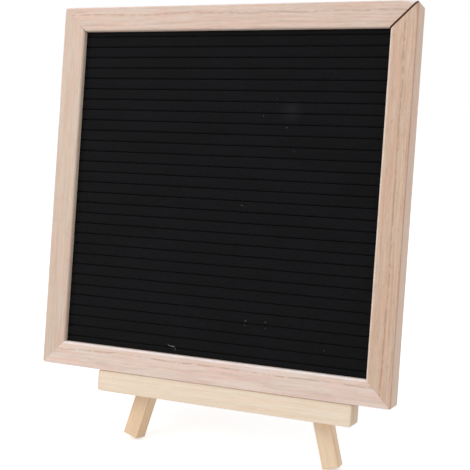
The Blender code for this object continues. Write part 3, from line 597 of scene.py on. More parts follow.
class Nodes:
    """Short ways to add nodes to one tree. A value is a number, a tuple or a socket."""

    def __init__(self, tree):
        self.tree = tree

    def add(self, kind, inputs=None, **fields):
        """A new node's outputs. Its fields are set first, then its inputs by socket."""
        node = self.tree.nodes.new(kind)
        for field, value in fields.items():
            setattr(node, field, value)
        for socket, value in (inputs or {}).items():
            if isinstance(value, bpy.types.NodeSocket):
                self.tree.links.new(value, node.inputs[socket])
            else:
                node.inputs[socket].default_value = value
        return node.outputs

    def join(self, inputs, values):
        """Links each named value to the input of that name."""
        for name, value in values.items():
            self.tree.links.new(value, inputs[name])

    def maths(self, operation, a, b=0.0):
        return self.add("ShaderNodeMath", {0: a, 1: b}, operation=operation)[0]

    def times(self, a, b):
        return self.maths("MULTIPLY", a, b)

    def less(self, a, b):
        return self.maths("SUBTRACT", a, b)

    def total(self, *parts):
        """The sum of the parts, each a value or a (value, weight)."""
        parts = [self.times(*part) if isinstance(part, tuple) else part for part in parts]
        result = parts[0]
        for part in parts[1:]:
            result = self.maths("ADD", result, part)
        return result

    def step(self, value, low, high, to_low=0.0, to_high=1.0):
        """A smooth step from to_low at low to to_high at high."""
        inputs = {0: value, 1: low, 2: high, 3: to_low, 4: to_high}
        return self.add("ShaderNodeMapRange", inputs, interpolation_type="SMOOTHSTEP")[0]

    def blend(self, share, a, b):
        return self.add("ShaderNodeMix", {0: share, 6: a, 7: b}, data_type="RGBA")[2]

    def vector(self, operation, a, b):
        return self.add("ShaderNodeVectorMath", {0: a, 1: b}, operation=operation)

    def noise(self, vector, scale, detail, rough):
        """Noise of one scale, or of a scale for each axis."""
        if isinstance(scale, tuple):
            vector = self.vector("MULTIPLY", vector, scale)[0]
            scale = 1.0
        inputs = {"Vector": vector, "Scale": scale, "Detail": detail, "Roughness": rough}
        return self.add("ShaderNodeTexNoise", inputs, noise_dimensions="3D")[0]

    def noise_along(self, way, detail, rough):
        """Noise of one dimension."""
        inputs = {"W": way, "Scale": 1.0, "Detail": detail, "Roughness": rough}
        return self.add("ShaderNodeTexNoise", inputs, noise_dimensions="1D")[0]

    def bump(self, shader, height, strength, distance):
        inputs = {"Height": height, "Strength": strength, "Distance": distance}
        self.join(shader.inputs, {"Normal": self.add("ShaderNodeBump", inputs)[0]})

    def group(self, tree, inputs):
        return self.add("ShaderNodeGroup", inputs, node_tree=tree)

    def looked_at(self):
        """1 for rays from the camera, off gloss and through glass, and 0 for light."""
        rays = self.add("ShaderNodeLightPath")
        seen = self.maths("MAXIMUM", rays["Is Camera Ray"], rays["Is Transmission Ray"])
        return self.maths("MAXIMUM", seen, rays["Is Glossy Ray"])


def new_group(name, inputs, outputs):
    """A shader node group. Inputs and outputs give the names of each kind of socket."""
    tree = bpy.data.node_groups.new(name, "ShaderNodeTree")
    for way, sockets in (("INPUT", inputs), ("OUTPUT", outputs)):
        for kind, names in sockets.items():
            for label in names:
                tree.interface.new_socket(
                    name=label, in_out=way, socket_type="NodeSocket" + kind
                )
    start = tree.nodes.new("NodeGroupInput")
    end = tree.nodes.new("NodeGroupOutput")
    return Nodes(tree), start.outputs, end.inputs


def wood_grain_group():
    """Long grain in wood. Coordinates in metres, with the grain along X.

    Rings: the distance from the pith, bent by slow noise along the grain, feeds noise of
    one dimension, so the lines have uneven widths and strengths. They fade in and out
    along the grain. Streaks: two noises drawn out along the grain. Fibres: fine noise
    drawn out 50 to 1. Ticks: short dark pores. Drift: patches that lean to the blush and
    patches that lean to the pale tone. Vein: one thin line that wanders about a height.
    """
    known = bpy.data.node_groups.get("wood_grain")
    if known:
        return known
    n, given, made = new_group("wood_grain", {
        "Vector": ("Vector",),
        "Float": ("Seed", "Pith Y", "Pith Z", "Ring Width", "Contrast", "Streaks", "Ticks",
                  "Vein At", "Vein"),
        "Color": ("Light", "Dark", "Blush", "Pale"),
    }, {"Color": ("Color",), "Float": ("Height", "Lines")})
    shift = n.add("ShaderNodeCombineXYZ", {0: given["Seed"], 1: 0.0, 2: 0.0})[0]
    vector = n.vector("ADD", given["Vector"], shift)[0]
    x, y, z = n.add("ShaderNodeSeparateXYZ", {0: vector})

    bend = n.times(n.less(n.noise(vector, (6.0, 28.0, 28.0), 2.0, 0.5), 0.5), 0.010)
    dy, dz = n.less(y, given["Pith Y"]), n.less(z, given["Pith Z"])
    radius = n.total(n.maths("SQRT", n.total((dy, dy), (dz, dz))), bend)
    count = n.maths("DIVIDE", radius, given["Ring Width"])
    ring = n.noise_along(n.total(count, given["Seed"]), 3.0, 0.6)
    fade = n.step(n.noise(vector, (30.0, 210.0, 210.0), 3.0, 0.6), 0.34, 0.62, 0.15, 1.0)
    lines = n.times(n.step(ring, 0.47, 0.68), fade)

    fibres = n.step(n.noise(vector, (30.0, 1500.0, 1500.0), 2.0, 0.6), 0.35, 0.70)
    long_streak = n.step(n.noise(vector, (14.0, 480.0, 480.0), 3.0, 0.6), 0.38, 0.64)
    short_streak = n.step(n.noise(vector, (75.0, 620.0, 620.0), 3.0, 0.65), 0.42, 0.66)
    streaks = n.total((long_streak, 0.55), (short_streak, 0.45))
    ticks = n.step(n.noise(vector, (190.0, 1500.0, 1500.0), 1.0, 0.5), 0.60, 0.74)

    wander = n.times(n.less(n.noise_along(n.times(x, 10.0), 3.0, 0.55), 0.5), 0.006)
    off = n.maths("ABSOLUTE", n.less(n.less(z, given["Vein At"]), wander))
    broken = n.step(n.noise(vector, (150.0, 300.0, 300.0), 2.0, 0.6), 0.34, 0.58)
    vein = n.times(n.step(off, 0.0002, 0.0009, 1.0, 0.0), broken)

    blushing = n.step(n.noise(vector, (16.0, 130.0, 130.0), 2.0, 0.5), 0.36, 0.64)
    paling = n.step(n.noise(vector, (30.14, 232.9, 232.9), 2.0, 0.5), 0.44, 0.66)
    base = n.blend(blushing, given["Light"], given["Blush"])
    base = n.blend(paling, base, given["Pale"])
    depth = n.total(
        (lines, given["Contrast"]), (streaks, given["Streaks"]), (fibres, 0.14),
        (ticks, given["Ticks"]), (vein, given["Vein"]),
    )
    n.join(made, {
        "Color": n.blend(depth, base, given["Dark"]),
        "Height": n.total((fibres, 0.5), (ticks, -0.8), (lines, 0.3)),
        "Lines": lines,
    })
    return n.tree


def edge_wear_highlight_and_shade_group():
    """Sanded edges, cut ends and painted light: makes a colour lighter by Edge and darker by End.

    Edge is sanded wear and a painted highlight on lit rounded edges. End is darker end grain
    and painted shade on shaded sides.
    """
    known = bpy.data.node_groups.get("edge_wear_highlight_and_shade")
    if known:
        return known
    n, given, made = new_group("edge_wear_highlight_and_shade", {
        "Vector": ("Vector",),
        "Float": ("Edge", "End", "Edge Amount", "End Amount"),
        "Color": ("Color", "Edge Light", "End Dark"),
    }, {"Color": ("Color",)})
    # Edge: sanded wear in patches, and a painted highlight on lit rounded edges
    patchy = n.step(n.noise(given["Vector"], 160.0, 3.0, 0.6), 0.30, 0.65, 0.55, 1.0)
    light = n.times(n.times(given["Edge"], patchy), given["Edge Amount"])
    eased = n.blend(light, given["Color"], given["Edge Light"])
    # End: darker end grain, and painted shade on shaded sides, in fine specks
    specks = n.step(n.noise(given["Vector"], 2200.0, 2.0, 0.6), 0.35, 0.65, 0.6, 1.0)
    dark = n.times(n.times(given["End"], specks), given["End Amount"])
    n.join(made, {"Color": n.blend(dark, eased, given["End Dark"])})
    return n.tree


def plated_metal_group():
    """Plated metal: brushed lines, soft blotches and small dull spots."""
    known = bpy.data.node_groups.get("plated_metal")
    if known:
        return known
    n, given, made = new_group("plated_metal", {
        "Vector": ("Vector",), "Float": ("Smooth", "Rough"), "Color": ("Bright", "Dull"),
    }, {"Color": ("Color",), "Float": ("Roughness", "Height")})
    where = given["Vector"]
    brush = n.noise(where, (120.0, 4000.0, 4000.0), 2.0, 0.6)
    cells = n.add("ShaderNodeTexVoronoi", {"Vector": where, "Scale": 520.0})
    spangle = n.add("ShaderNodeSeparateXYZ", {0: cells["Color"]})[0]
    spots = n.step(n.noise(where, 1300.0, 2.0, 0.5), 0.62, 0.72)
    marked = n.total((n.noise(where, 340.0, 3.0, 0.6), 0.45), (spangle, 0.18), (spots, 0.35))
    spread = n.less(given["Rough"], given["Smooth"])
    rough = n.total(given["Smooth"], (spread, n.total((brush, 0.5), (marked, 0.5))))
    n.join(made, {
        "Color": n.blend(marked, given["Bright"], given["Dull"]),
        "Roughness": rough,
        "Height": n.less(brush, spots),
    })
    return n.tree


def new_material(name, roughness, metallic=0.0, specular=0.5):
    """A material, its nodes, its Principled shader and its object coordinates."""
    made = bpy.data.materials.new(name)
    made.use_nodes = True
    n = Nodes(made.node_tree)
    shader = n.tree.nodes["Principled BSDF"]
    shader.inputs["Roughness"].default_value = roughness
    shader.inputs["Metallic"].default_value = metallic
    shader.inputs["Specular IOR Level"].default_value = specular
    return made, n, shader, n.add("ShaderNodeTexCoord")["Object"]


def tinted(shade, tint):
    return tuple(min(a * b, 1.0) for a, b in zip(shade, tint))


def opaque(shade):
    return (*shade, 1.0)


def wood_material(name, place, light, dark, seed, pith, ring, contrast,
                  blush=(1.02, 0.92, 0.91), pale=(0.985, 1.015, 1.06), streaks=0.42,
                  ticks=0.30, vein=(0.0, 0.0), wear_and_highlight_tint=(1.14, 1.22, 1.30), edge_wear_and_highlight=0.8,
                  end_grain_and_shade_tone=(0.8, 0.8, 0.8), ends=0.30):
    """Bare sanded wood, its grain along the X axis of the piece's place.

    Blush and pale are tints of the light wood, and so is the edge tint, for sanded wear and a
    painted highlight on rounded edges. The end tone, for darker end grain and painted shade,
    is a tint of the dark one. Vein is the height of the one thin line and how dark it is.
    """
    made, n, shader, where = new_material(name, 0.5)
    back = place.inverted()
    turned = {"Vector": where, "Location": back.translation, "Rotation": back.to_euler()}
    vector = n.add("ShaderNodeMapping", turned, vector_type="POINT")[0]
    grain = n.group(wood_grain_group(), {
        "Vector": vector, "Seed": seed, "Pith Y": pith[0], "Pith Z": pith[1],
        "Ring Width": ring, "Contrast": contrast, "Streaks": streaks, "Ticks": ticks,
        "Vein At": vein[0], "Vein": vein[1], "Light": opaque(light), "Dark": opaque(dark),
        "Blush": opaque(tinted(light, blush)), "Pale": opaque(tinted(light, pale)),
    })
    # Edges lighter for sanded wear and painted highlight; ends and shaded sides darker for end
    # grain and painted shade
    marked = n.group(edge_wear_highlight_and_shade_group(), {
        "Color": grain["Color"], "Vector": vector, "Edge Amount": edge_wear_and_highlight, "End Amount": ends,
        "Edge": n.add("ShaderNodeAttribute", attribute_name="edge")["Fac"],
        "End": n.add("ShaderNodeAttribute", attribute_name="end")["Fac"],
        "Edge Light": opaque(tinted(light, wear_and_highlight_tint)),
        "End Dark": opaque(tinted(dark, end_grain_and_shade_tone)),
    })
    rough = n.step(grain["Lines"], 0.0, 1.0, 0.52, 0.44)
    n.join(shader.inputs, {"Base Color": marked["Color"], "Roughness": rough})
    n.bump(shader, grain["Height"], 0.35, 0.00012)
    return made


def felt_material(f):
    """Black wool felt: matted fibres of two sizes, soft unevenness and a smudge of dust."""
    made, n, shader, where = new_material("felt_black", 1.0, specular=0.06)
    mat = n.noise(where, 950.0, 4.0, 0.7)
    drawn = n.noise(where, (500.0, 2400.0, 2400.0), 2.0, 0.6)
    slow = n.step(n.noise(where, (16.0, 40.0, 40.0), 4.0, 0.6), 0.32, 0.68, 0.62, 1.0)
    share = n.times(n.step(n.total((mat, 0.62), (drawn, 0.38)), 0.34, 0.66), slow)
    smudge, reach = PLANE @ Vector((0.0555, f.front, 0.2182)), 0.012
    away = n.vector("DISTANCE", where, smudge)[1]
    dust = n.times(n.step(away, 0.0, reach, 0.8, 0.0), mat)
    shade = n.blend(share, opaque(f.black), opaque(f.grey))
    shade = n.blend(dust, shade, opaque(tinted(f.grey, (2.2, 2.2, 2.2))))
    n.join(shader.inputs, {"Base Color": shade})
    shader.inputs["Sheen Weight"].default_value = 0.02
    shader.inputs["Sheen Roughness"].default_value = 0.6
    n.bump(shader, n.total(mat, (drawn, 0.5)), 0.55, 0.0003)
    return made


def lint_material(f):
    """Pale lint, unevenly grey along each thread."""
    made, n, shader, where = new_material("lint_thread", 0.95, specular=0.1)
    share = n.noise(where, 1500.0, 2.0, 0.5)
    shade = n.blend(share, opaque(f.lint), opaque(tinted(f.lint, (0.7, 0.7, 0.7))))
    n.join(shader.inputs, {"Base Color": shade})
    return made


def metal_material(name, bright, dull, smooth, rough):
    """Plated metal, made once under its name."""
    known = bpy.data.materials.get(name)
    if known:
        return known
    made, n, shader, where = new_material(name, smooth, metallic=1.0)
    plate = n.group(plated_metal_group(), {
        "Vector": where, "Bright": opaque(bright), "Dull": opaque(dull), "Smooth": smooth,
        "Rough": rough,
    })
    n.join(shader.inputs, {"Base Color": plate["Color"], "Roughness": plate["Roughness"]})
    n.bump(shader, plate["Height"], 0.15, 0.00003)
    return made


def zinc_material():
    return metal_material("zinc_plate", (0.66, 0.67, 0.69), (0.36, 0.36, 0.37), 0.28, 0.55)


def brass_material():
    return metal_material("brass_plating", (0.80, 0.60, 0.28), (0.42, 0.29, 0.13), 0.24, 0.5)


def fibre_board_material():
    """Brown hardboard: pressed fibres, a few pale and dark shreds."""
    made, n, shader, where = new_material("hardboard_brown", 0.72, specular=0.3)
    fibre = n.noise(where, (500.0, 500.0, 1100.0), 4.0, 0.7)
    shreds = n.step(n.noise(where, (220.0, 900.0, 900.0), 2.0, 0.5), 0.60, 0.70)
    shadow = n.times(n.noise(where, 30.0, 4.0, 0.6), 0.35)
    base = n.blend(fibre, (0.22, 0.135, 0.075, 1), (0.38, 0.25, 0.15, 1))
    base = n.blend(shadow, base, (0.20, 0.12, 0.07, 1))
    base = n.blend(n.times(shreds, 0.35), base, (0.50, 0.36, 0.23, 1))
    n.join(shader.inputs, {"Base Color": base})
    n.bump(shader, n.total(fibre, (shreds, 0.4)), 0.35, 0.0002)
    return made


def dress(node, material):
    """Gives a CAD node a detailed material in all its slots."""
    slots = frame["nodes"][node].material_slots
    if not slots:
        raise RuntimeError(f"{node} has no material slot")
    for slot in slots:
        slot.material = material


def finish_piece(piece, body, material, slot, *nodes):
    """Gives a new piece its material, its body and what it stands for. The slot is not used."""
    piece.data.materials.append(material)
    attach(piece, body)
    if nodes:
        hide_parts(*nodes)


# Operators


class LETTERBOARD_OT_stage(bpy.types.Operator):
    """Camera, soft light, white surroundings and the pale floor"""

    bl_idname = "letterboard.stage"
    bl_label = "Stage"

    def execute(self, context):
        s = settings().stage
        camera = bpy.data.objects.new("camera", bpy.data.cameras.new("camera"))
        context.scene.collection.objects.link(camera)
        camera.data.lens = s.focal
        camera.data.sensor_width = 36.0
        camera.location = s.place
        camera.rotation_euler = (QUARTER_TURN - s.down, 0.0, s.aside)
        context.scene.camera = camera
        context.scene.view_settings.view_transform = "Standard"
        self.light_world(context, s)
        lamps = (
            # name, place, size, power and colour
            ("key_lamp", (-0.75, -1.05, 1.05), (0.9, 0.7), s.key, (1.0, 0.985, 0.96)),
            ("fill_lamp", (1.05, 0.0, 1.20), (0.8, 0.6), s.fill, (0.84, 0.93, 1.0)),
        )
        for lamp in lamps:
            self.hang_lamp(context, *lamp)
        self.lay_floor(s)
        return {"FINISHED"}

    def light_world(self, context, s):
        """An even sky for the object, and plain white where a camera or gloss ray ends."""
        world = bpy.data.worlds.new("studio")
        context.scene.world = world
        world.use_nodes = True
        n = Nodes(world.node_tree)
        even = n.tree.nodes["Background"]
        even.inputs[0].default_value = (0.97, 0.985, 1.0, 1.0)
        even.inputs[1].default_value = s.sky
        white = n.add("ShaderNodeBackground", {0: (1, 1, 1, 1), 1: 1.0})[0]
        mix = n.add("ShaderNodeMixShader", {0: n.looked_at(), 1: even.outputs[0], 2: white})
        n.join(n.tree.nodes["World Output"].inputs, {"Surface": mix[0]})

    def hang_lamp(self, context, name, place, size, power, colour):
        """A large soft lamp aimed at the middle of the board."""
        lamp = bpy.data.objects.new(name, bpy.data.lights.new(name, "AREA"))
        context.scene.collection.objects.link(lamp)
        lamp.data.shape = "RECTANGLE"
        lamp.data.size, lamp.data.size_y = size
        lamp.data.energy = power
        lamp.data.color = colour
        lamp.location = place
        board_middle = Vector((0.0, -0.05, 0.16))
        aim = board_middle - lamp.location
        lamp.rotation_euler = aim.to_track_quat("-Z", "Y").to_euler()

    def lay_floor(self, s):
        """A wide flat floor that looks white and keeps the object's shadow."""
        reach, glow = 6.0, 0.45
        corners = reach * np.array([(-1, -1, 0), (1, -1, 0), (1, 1, 0), (-1, 1, 0)], float)
        floor = make_object("floor", corners, [[0, 1, 2, 3]])
        made, n, shader, _ = new_material("floor_white", 0.9, specular=0.0)
        shader.inputs["Base Color"].default_value = opaque(s.floor)
        lit = n.add("ShaderNodeEmission", {0: (1, 1, 1, 1), 1: n.times(n.looked_at(), glow)})
        both = n.add("ShaderNodeAddShader", {0: shader.outputs[0], 1: lit[0]})
        n.join(n.tree.nodes["Material Output"].inputs, {"Surface": both[0]})
        floor.data.materials.append(made)


SIDES = (
    # Each side is a quarter turn on from the last: its node, the corners at its ends, how
    # much painted highlight its inner and outer edges get (painted shade if below 0), tint,
    # seed, pith, contrast, streaks, ticks, and the vein's height and strength
    ("frame_top_rail", "top_left", "top_right", 0.10, 1.0,
     (0.945, 0.935, 0.94), 3.1, (0.061, 0.043), 0.37, 0.46, 0.30, (0.0030, 0.60)),
    ("frame_right_stile", "top_right", "bottom_right", 1.0, -0.32,
     (0.885, 0.815, 0.735), 5.7, (0.022, 0.074), 0.40, 0.48, 0.62, (0.0015, 0.80)),
    ("frame_bottom_rail", "bottom_right", "bottom_left", 0.8, 0.4,
     (1.06, 1.09, 1.14), 8.3, (0.070, 0.020), 0.32, 0.38, 0.22, (-0.0045, 0.75)),
    ("frame_left_stile", "bottom_left", "top_left", 0.0, 0.5,
     (0.905, 0.915, 0.895), 11.9, (0.048, 0.058), 0.32, 0.42, 0.22, (0.0, 0.0)),
)


class LETTERBOARD_OT_frame(bpy.types.Operator):
    """The four mitred sides of the picture frame and the V nails at its corners"""

    bl_idname = "letterboard.frame"
    bl_label = "Frame"

    def execute(self, context):
        s = settings().frame
        light, dark = tuple(s.light), tuple(s.dark)
        corners = {
            # gap, more of it at the inner corner and over what distance, the board's
            # corner round, and how much rounder the front edge is
            "top_left": (s.closed_mitre, 0.0006, 0.0022, s.corner, 0.0004),
            "top_right": (s.open_mitre, 0.0001, 0.004, 1.9 * s.corner, 0.0024),
            "bottom_left": (s.closed_mitre, 0.0, 0.003, 1.6 * s.corner, 0.0),
            "bottom_right": (s.closed_mitre, 0.0001, 0.003, s.corner, 0.0),
        }
        middle = Matrix.Translation((0, 0, s.side / 2 - s.width / 2))
        for number, (node, left, right, sight_highlight, rim, *looks) in enumerate(SIDES):
            turn = number * QUARTER_TURN
            ends = corners[left], corners[right]
            piece = rail(f"{node}_wood", s, turn, *ends, 10 * number, sight_highlight, rim)
            tint, seed, pith, contrast, streaks, ticks, vein = looks
            # The rails' edges get sanded wear and a painted highlight, a shaded outer edge
            # painted shade
            wood = wood_material(
                f"{node}_grain", board_centre(s) @ Matrix.Rotation(turn, 4, "Y") @ middle,
                tinted(light, tint), tinted(dark, tint), seed, pith, 0.0016, contrast,
                streaks=streaks, ticks=ticks, vein=vein, wear_and_highlight_tint=(1.24, 1.43, 1.68),
                edge_wear_and_highlight=1.0, end_grain_and_shade_tone=(0.42, 0.13, 0.03), ends=0.95,
            )
            finish_piece(piece, FRONT_BODY, wood, "frame_wood", node)
        for corner in corners:
            sx = -1 if "left" in corner else 1
            sz = -1 if "bottom" in corner else 1
            nail = corner_nail(f"v_nail_{corner}", s, sx, sz)
            finish_piece(nail, FRONT_BODY, zinc_material(), "zinc_steel", f"corner_nail_{corner}")
        return {"FINISHED"}


THREADS = (
    # knots on the board, from its middle line and the ledge's top, and radius, in mm
    (((-35.6, 27.7), (-35.2, 27.0), (-34.5, 26.7), (-33.9, 26.8)), 0.14),
    (((-33.6, 27.0), (-32.9, 26.2), (-31.9, 26.6), (-30.9, 26.0), (-30.2, 26.7),
      (-29.8, 26.2)), 0.18),
    (((-29.8, 26.4), (-29.2, 25.2), (-28.9, 24.2), (-28.8, 23.2)), 0.07),
    (((29.3, 52.9), (29.9, 53.3), (30.5, 53.7)), 0.15),
    (((29.2, 49.8), (29.7, 49.9)), 0.14),
    (((46.4, 53.8), (47.1, 54.2)), 0.15),
    (((46.3, 49.0), (46.6, 48.7)), 0.08),
    (((48.1, 32.3), (48.5, 32.4)), 0.09),
    (((94.7, 37.3), (95.5, 37.7)), 0.09),
    (((52.8, 204.8), (53.6, 205.0)), 0.10),
    (((43.0, 227.1), (43.6, 227.3)), 0.09),
    (((19.7, 142.9), (20.3, 143.2), (20.7, 143.1)), 0.16),
    (((22.0, 142.2), (22.4, 142.4)), 0.08),
    (((33.0, 213.4), (33.6, 213.7)), 0.07),
    (((60.5, 186.6), (60.9, 187.0)), 0.08),
    (((37.7, 201.1), (38.1, 201.3)), 0.06),
)


class LETTERBOARD_OT_felt(bpy.types.Operator):
    """The felt face in its slots, the lint on it and the boards behind it"""

    bl_idname = "letterboard.felt"
    bl_label = "Felt"

    def execute(self, context):
        s, f = settings().frame, settings().felt
        cloth = felt_sheet(s, f)
        finish_piece(cloth, FRONT_BODY, felt_material(f), "black_felt", "felt_face")
        lint = lint_material(f)
        for number, (knots, radius) in enumerate(THREADS, start=1):
            piece = thread(f"lint_{number}", np.array(knots) / 1000, radius / 1000, f)
            finish_piece(piece, FRONT_BODY, lint, "black_felt")
        board = fibre_board_material()
        for node in ("ribbed_core", "backing_board"):
            dress(node, board)
        return {"FINISHED"}


def leg_reach(e):
    """From a front leg's middle line to its foremost and its hindmost edge."""
    flat = e.stick / 2 - e.stick_round
    return flat * (math.cos(e.leg_turn) + math.sin(e.leg_turn)) + e.stick_round


def leg_splay(e):
    return math.atan(e.foot_spread / 2 / (e.top - e.apex_drop + e.foot_drop))


def block_back(s, e):
    """Depth of the head block's back, behind the legs and a clearance on either side."""
    return s.depth + 2 * leg_reach(e) + 2 * s.clearance + e.block_depth


def hinge_axis(s, e):
    """The pin's axes: X along the pin, in the leaning plane."""
    depth = block_back(s, e) + s.clearance + e.knuckle
    return PLANE @ Matrix.Translation((e.middle, depth, e.top - e.hinge_drop))


def front_leg_place(s, e, sign):
    """Axes of a front leg: its origin where the legs' middles meet, Z up along it."""
    middle_depth = s.depth + s.clearance + leg_reach(e)
    apex = Matrix.Translation((e.middle, middle_depth, e.top - e.apex_drop))
    splay = Matrix.Rotation(-sign * leg_splay(e), 4, "Y")
    return PLANE @ apex @ splay @ Matrix.Rotation(sign * e.leg_turn, 4, "Z")


class LETTERBOARD_OT_easel(bpy.types.Operator):
    """The easel's front: two splayed legs, the ledge and the head block"""

    bl_idname = "letterboard.easel"
    bl_label = "Easel front"

    def execute(self, context):
        s, e = settings().frame, settings().easel
        light, dark = tuple(e.light), tuple(e.dark)
        half = e.stick / 2
        gap = s.clearance
        splay = leg_splay(e)
        sine, cosine = math.sin(splay), math.cos(splay)
        foot = -(e.top - e.apex_drop + e.foot_drop) / cosine
        sticks = (
            # side, sign, tint, seed, and how dark the painted side shade and foot end grain are
            ("left", -1, (1.02, 0.93, 0.85), 2.2, 0.6),
            ("right", 1, (1.06, 1.0, 0.96), 6.4, 0.82),
        )
        for side, sign, tint, seed, ends in sticks:
            place = front_leg_place(s, e, sign)
            crease = sign * (e.apex_drop * sine + gap / 2 * cosine)
            shift = half * math.tan(e.leg_turn)
            creases = np.array([crease - shift, crease, crease + shift])

            def mitre(a, b, sign=sign):
                across = sign * a * math.cos(e.leg_turn) - b * math.sin(e.leg_turn)
                inner = (across * cosine - gap / 2) / sine
                level = (e.apex_drop - across * sine) / cosine
                return np.minimum(inner, level)

            # rim paints shade on each leg's +a side; its other edges get sanded wear and a
            # painted highlight
            leg = stick(
                f"easel_{side}_leg_wood", (half, half), e.stick_round, foot, e.apex_drop,
                (e.foot_round, 0.0), place, 40 + sign, creases, mitre, rim=0.7,
            )
            wood = wood_material(
                f"easel_{side}_leg_grain", place @ ALONG_Z, tinted(light, tint),
                tinted(dark, tint), seed, (0.031 * sign, 0.052), 0.0027, 0.24,
                (1.0, 0.95, 0.91), (0.99, 1.02, 1.03), streaks=0.34, ticks=0.14,
                wear_and_highlight_tint=(1.08, 1.22, 1.42), edge_wear_and_highlight=0.6, end_grain_and_shade_tone=(0.82, 0.70, 0.52), ends=ends,
            )
            finish_piece(leg, FRONT_BODY, wood, "easel_wood", f"easel_{side}_leg")
        self.ledge(s, e, light, dark)
        self.head_block(s, e, light, dark)
        return {"FINISHED"}

    def ledge(self, s, e, light, dark):
        """The ledge is a stick laid along X: its own Z axis is turned to the right."""
        centre = (e.middle - e.ledge_shift, s.depth - e.ledge_depth / 2, -e.ledge_height / 2)
        grain = PLANE @ Matrix.Translation(centre)
        reach = e.ledge_length / 2
        bar = stick(
            "easel_ledge_wood", (e.ledge_height / 2, e.ledge_depth / 2), e.ledge_round, -reach,
            reach, (e.ledge_end_round, e.ledge_end_round), grain @ ALONG_Z, 50, crisp=0.4,
        )
        # The ledge's ends are darker for end grain and painted shade under the frame; its edges
        # lighter for sanded wear and painted highlight
        wood = wood_material(
            "easel_ledge_grain", grain, tinted(light, (1.05, 1.05, 1.10)), dark, 14.6,
            (0.034, -0.061), 0.0026, 0.18, (1.0, 0.965, 0.94), (0.99, 1.02, 1.03),
            streaks=0.20, ticks=0.12, edge_wear_and_highlight=0.3, ends=0.72,
        )
        finish_piece(bar, FRONT_BODY, wood, "easel_wood", "easel_ledge")

    def head_block(self, s, e, light, dark):
        """The block narrows upwards by the legs' splay."""
        splay = leg_splay(e)
        reach = leg_reach(e) / math.cos(splay)
        low = (e.block_height - e.apex_drop) * math.tan(splay) + reach
        middle = block_back(s, e) - e.block_depth / 2
        bottom = PLANE @ Matrix.Translation((e.middle, middle, e.top - e.block_height))
        block = stick(
            "head_block_wood", (low, e.block_depth / 2), e.block_round, 0.0, e.block_height,
            (e.block_round, e.block_round), bottom, 60, widen=-math.tan(splay),
        )
        wood = wood_material(
            "head_block_grain", bottom @ ALONG_Z, light, dark, 21.3, (0.02, -0.055), 0.0026,
            0.4,
        )
        finish_piece(block, FRONT_BODY, wood, "easel_wood", "head_block")


class LETTERBOARD_OT_rear_leg(bpy.types.Operator):
    """The rear leg that swings on the hinge"""

    bl_idname = "letterboard.rear_leg"
    bl_label = "Rear leg"

    def execute(self, context):
        s, e = settings().frame, settings().easel
        half = e.stick / 2
        front = e.knuckle + s.clearance
        swung = hinge_axis(s, e) @ Matrix.Rotation(e.opening, 4, "X")
        sine, cosine = math.sin(e.opening), math.cos(e.opening)
        start_y, start_z = front, (front * cosine + e.knuckle) / sine
        end_y = (e.rear_top * sine - e.knuckle) / cosine
        slope = (e.rear_top - start_z) / (end_y - start_y)
        down = (swung.to_3x3().inverted() @ Vector((0, 0, -1))).normalized()
        tilt = math.atan2(-down.y, -down.z)
        drop = swung.translation.z
        rise = front * math.sin(tilt) + e.foot_round * (math.cos(tilt) + math.sin(tilt) - 1)
        foot = -(drop + rise) / math.cos(tilt)

        def planed(a, b):
            return np.minimum(e.rear_top, start_z + slope * (a + half))

        # the stick's a axis is the leg's depth, its b axis the leg's width
        turn = Matrix(((0, 1, 0, 0), (1, 0, 0, 0), (0, 0, 1, 0), (0, 0, 0, 1)))
        place = swung @ Matrix.Translation((0, front + half, 0)) @ turn
        crease = end_y - front - half
        leg = stick(
            "rear_leg_wood", (half, half), e.stick_round, foot, e.rear_top,
            (e.foot_round, 0.0), place, 70, crease, planed,
        )
        grain = swung @ Matrix.Translation((0, front + half, 0)) @ ALONG_Z
        wood = wood_material(
            "rear_leg_grain", grain, tuple(e.light), tuple(e.dark), 27.8, (0.044, 0.036),
            0.0022, 0.42,
        )
        finish_piece(leg, LEG_BODY, wood, "easel_wood", "rear_leg")
        return {"FINISHED"}


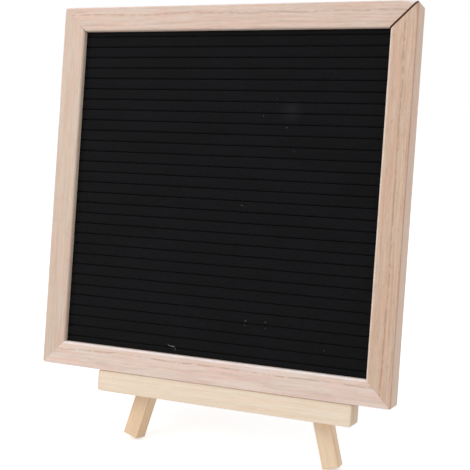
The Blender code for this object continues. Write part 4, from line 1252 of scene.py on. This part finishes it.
class LETTERBOARD_OT_fittings(bpy.types.Operator):
    """Screws with cross recesses, the hinge, the hanger and the tabs"""

    bl_idname = "letterboard.fittings"
    bl_label = "Fittings"

    def execute(self, context):
        s, e = settings().frame, settings().easel
        zinc, brass = zinc_material(), brass_material()
        splay = leg_splay(e)
        down = (e.top - e.apex_drop + e.ledge_height / 2) / math.cos(splay)
        rise, ledge_whole, head_whole, hinge_whole = 0.009, 0.025, 0.019, 0.0070
        hinge_drops = (0.0052, 0.0112)
        out = (e.block_height - rise - e.apex_drop) * math.tan(splay)
        for side, sign in (("left", -1), ("right", 1)):
            leg_back = front_leg_place(s, e, sign) @ Matrix.Translation((0, e.stick / 2, -down))
            corner = (e.middle + sign * out, block_back(s, e), e.top - e.block_height + rise)
            head_back = PLANE @ Matrix.Translation(corner)
            screws = (("ledge", leg_back, ledge_whole), ("head", head_back, head_whole))
            for kind, back, whole in screws:
                node = f"{kind}_screw_{side}"
                place = back @ Matrix.Rotation(0.4 + sign * 0.7, 4, "Y")
                piece = screw(f"{node}_turned", STEEL_SCREW, whole, place)
                finish_piece(piece, FRONT_BODY, zinc, "zinc_steel", node)
        pin = hinge_axis(s, e)
        swung = pin @ Matrix.Rotation(e.opening, 4, "X")
        inner = e.knuckle - e.leaf
        leaves = (
            ("hinge_fixed_screw", FRONT_BODY, pin, -inner, 0.0),
            ("hinge_moving_screw", LEG_BODY, swung, inner, 2 * QUARTER_TURN),
        )
        for kind, body, axes, face, turned in leaves:
            for number, drop in enumerate(hinge_drops, start=1):
                turn = Matrix.Rotation(turned, 4, "X") @ Matrix.Rotation(0.9 * number, 4, "Y")
                place = axes @ Matrix.Translation((0, face, -drop)) @ turn
                piece = screw(f"{kind}_{number}_turned", HINGE_SCREW, hinge_whole, place)
                finish_piece(piece, body, brass, "brass_plate", f"{kind}_{number}")
        for node in ("hinge_fixed_leaf", "hinge_moving_leaf", "hinge_pin"):
            dress(node, brass)
        tabs = [f"backing_tab_{side}_{number}" for side in ("top", "right", "bottom", "left")
                for number in (1, 2)]
        for node in ("sawtooth_hanger", "hanger_nail_left", "hanger_nail_right", *tabs):
            dress(node, zinc)
        return {"FINISHED"}


class LETTERBOARD_PT_panel(bpy.types.Panel):
    """Lists the pieces of the letter board"""

    bl_idname = "LETTERBOARD_PT_panel"
    bl_label = "Letter board"
    bl_space_type = "VIEW_3D"
    bl_region_type = "UI"
    bl_category = "Letter board"

    def draw(self, context):
        for operator in OPERATORS:
            self.layout.operator(operator.bl_idname)
        for group in ("frame", "felt", "easel", "stage"):
            box = self.layout.box()
            box.label(text=group.capitalize())
            held = getattr(context.scene.letter_board, group)
            for name in held.__annotations__:
                box.prop(held, name)


OPERATORS = (
    LETTERBOARD_OT_stage,
    LETTERBOARD_OT_frame,
    LETTERBOARD_OT_felt,
    LETTERBOARD_OT_easel,
    LETTERBOARD_OT_rear_leg,
    LETTERBOARD_OT_fittings,
)
CLASSES = (
    FrameSettings, FeltSettings, EaselSettings, StageSettings, BoardSettings,
    *OPERATORS, LETTERBOARD_PT_panel,
)


def register():
    for made in CLASSES:
        bpy.utils.register_class(made)
    bpy.types.Scene.letter_board = PointerProperty(type=BoardSettings)


def unregister():
    del bpy.types.Scene.letter_board
    for made in reversed(CLASSES):
        bpy.utils.unregister_class(made)


def main():
    register()
    bpy.ops.letterboard.stage()
    bpy.ops.letterboard.frame()
    bpy.ops.letterboard.felt()
    bpy.ops.letterboard.easel()
    bpy.ops.letterboard.rear_leg()
    bpy.ops.letterboard.fittings()


if __name__ == "__main__":
    main()
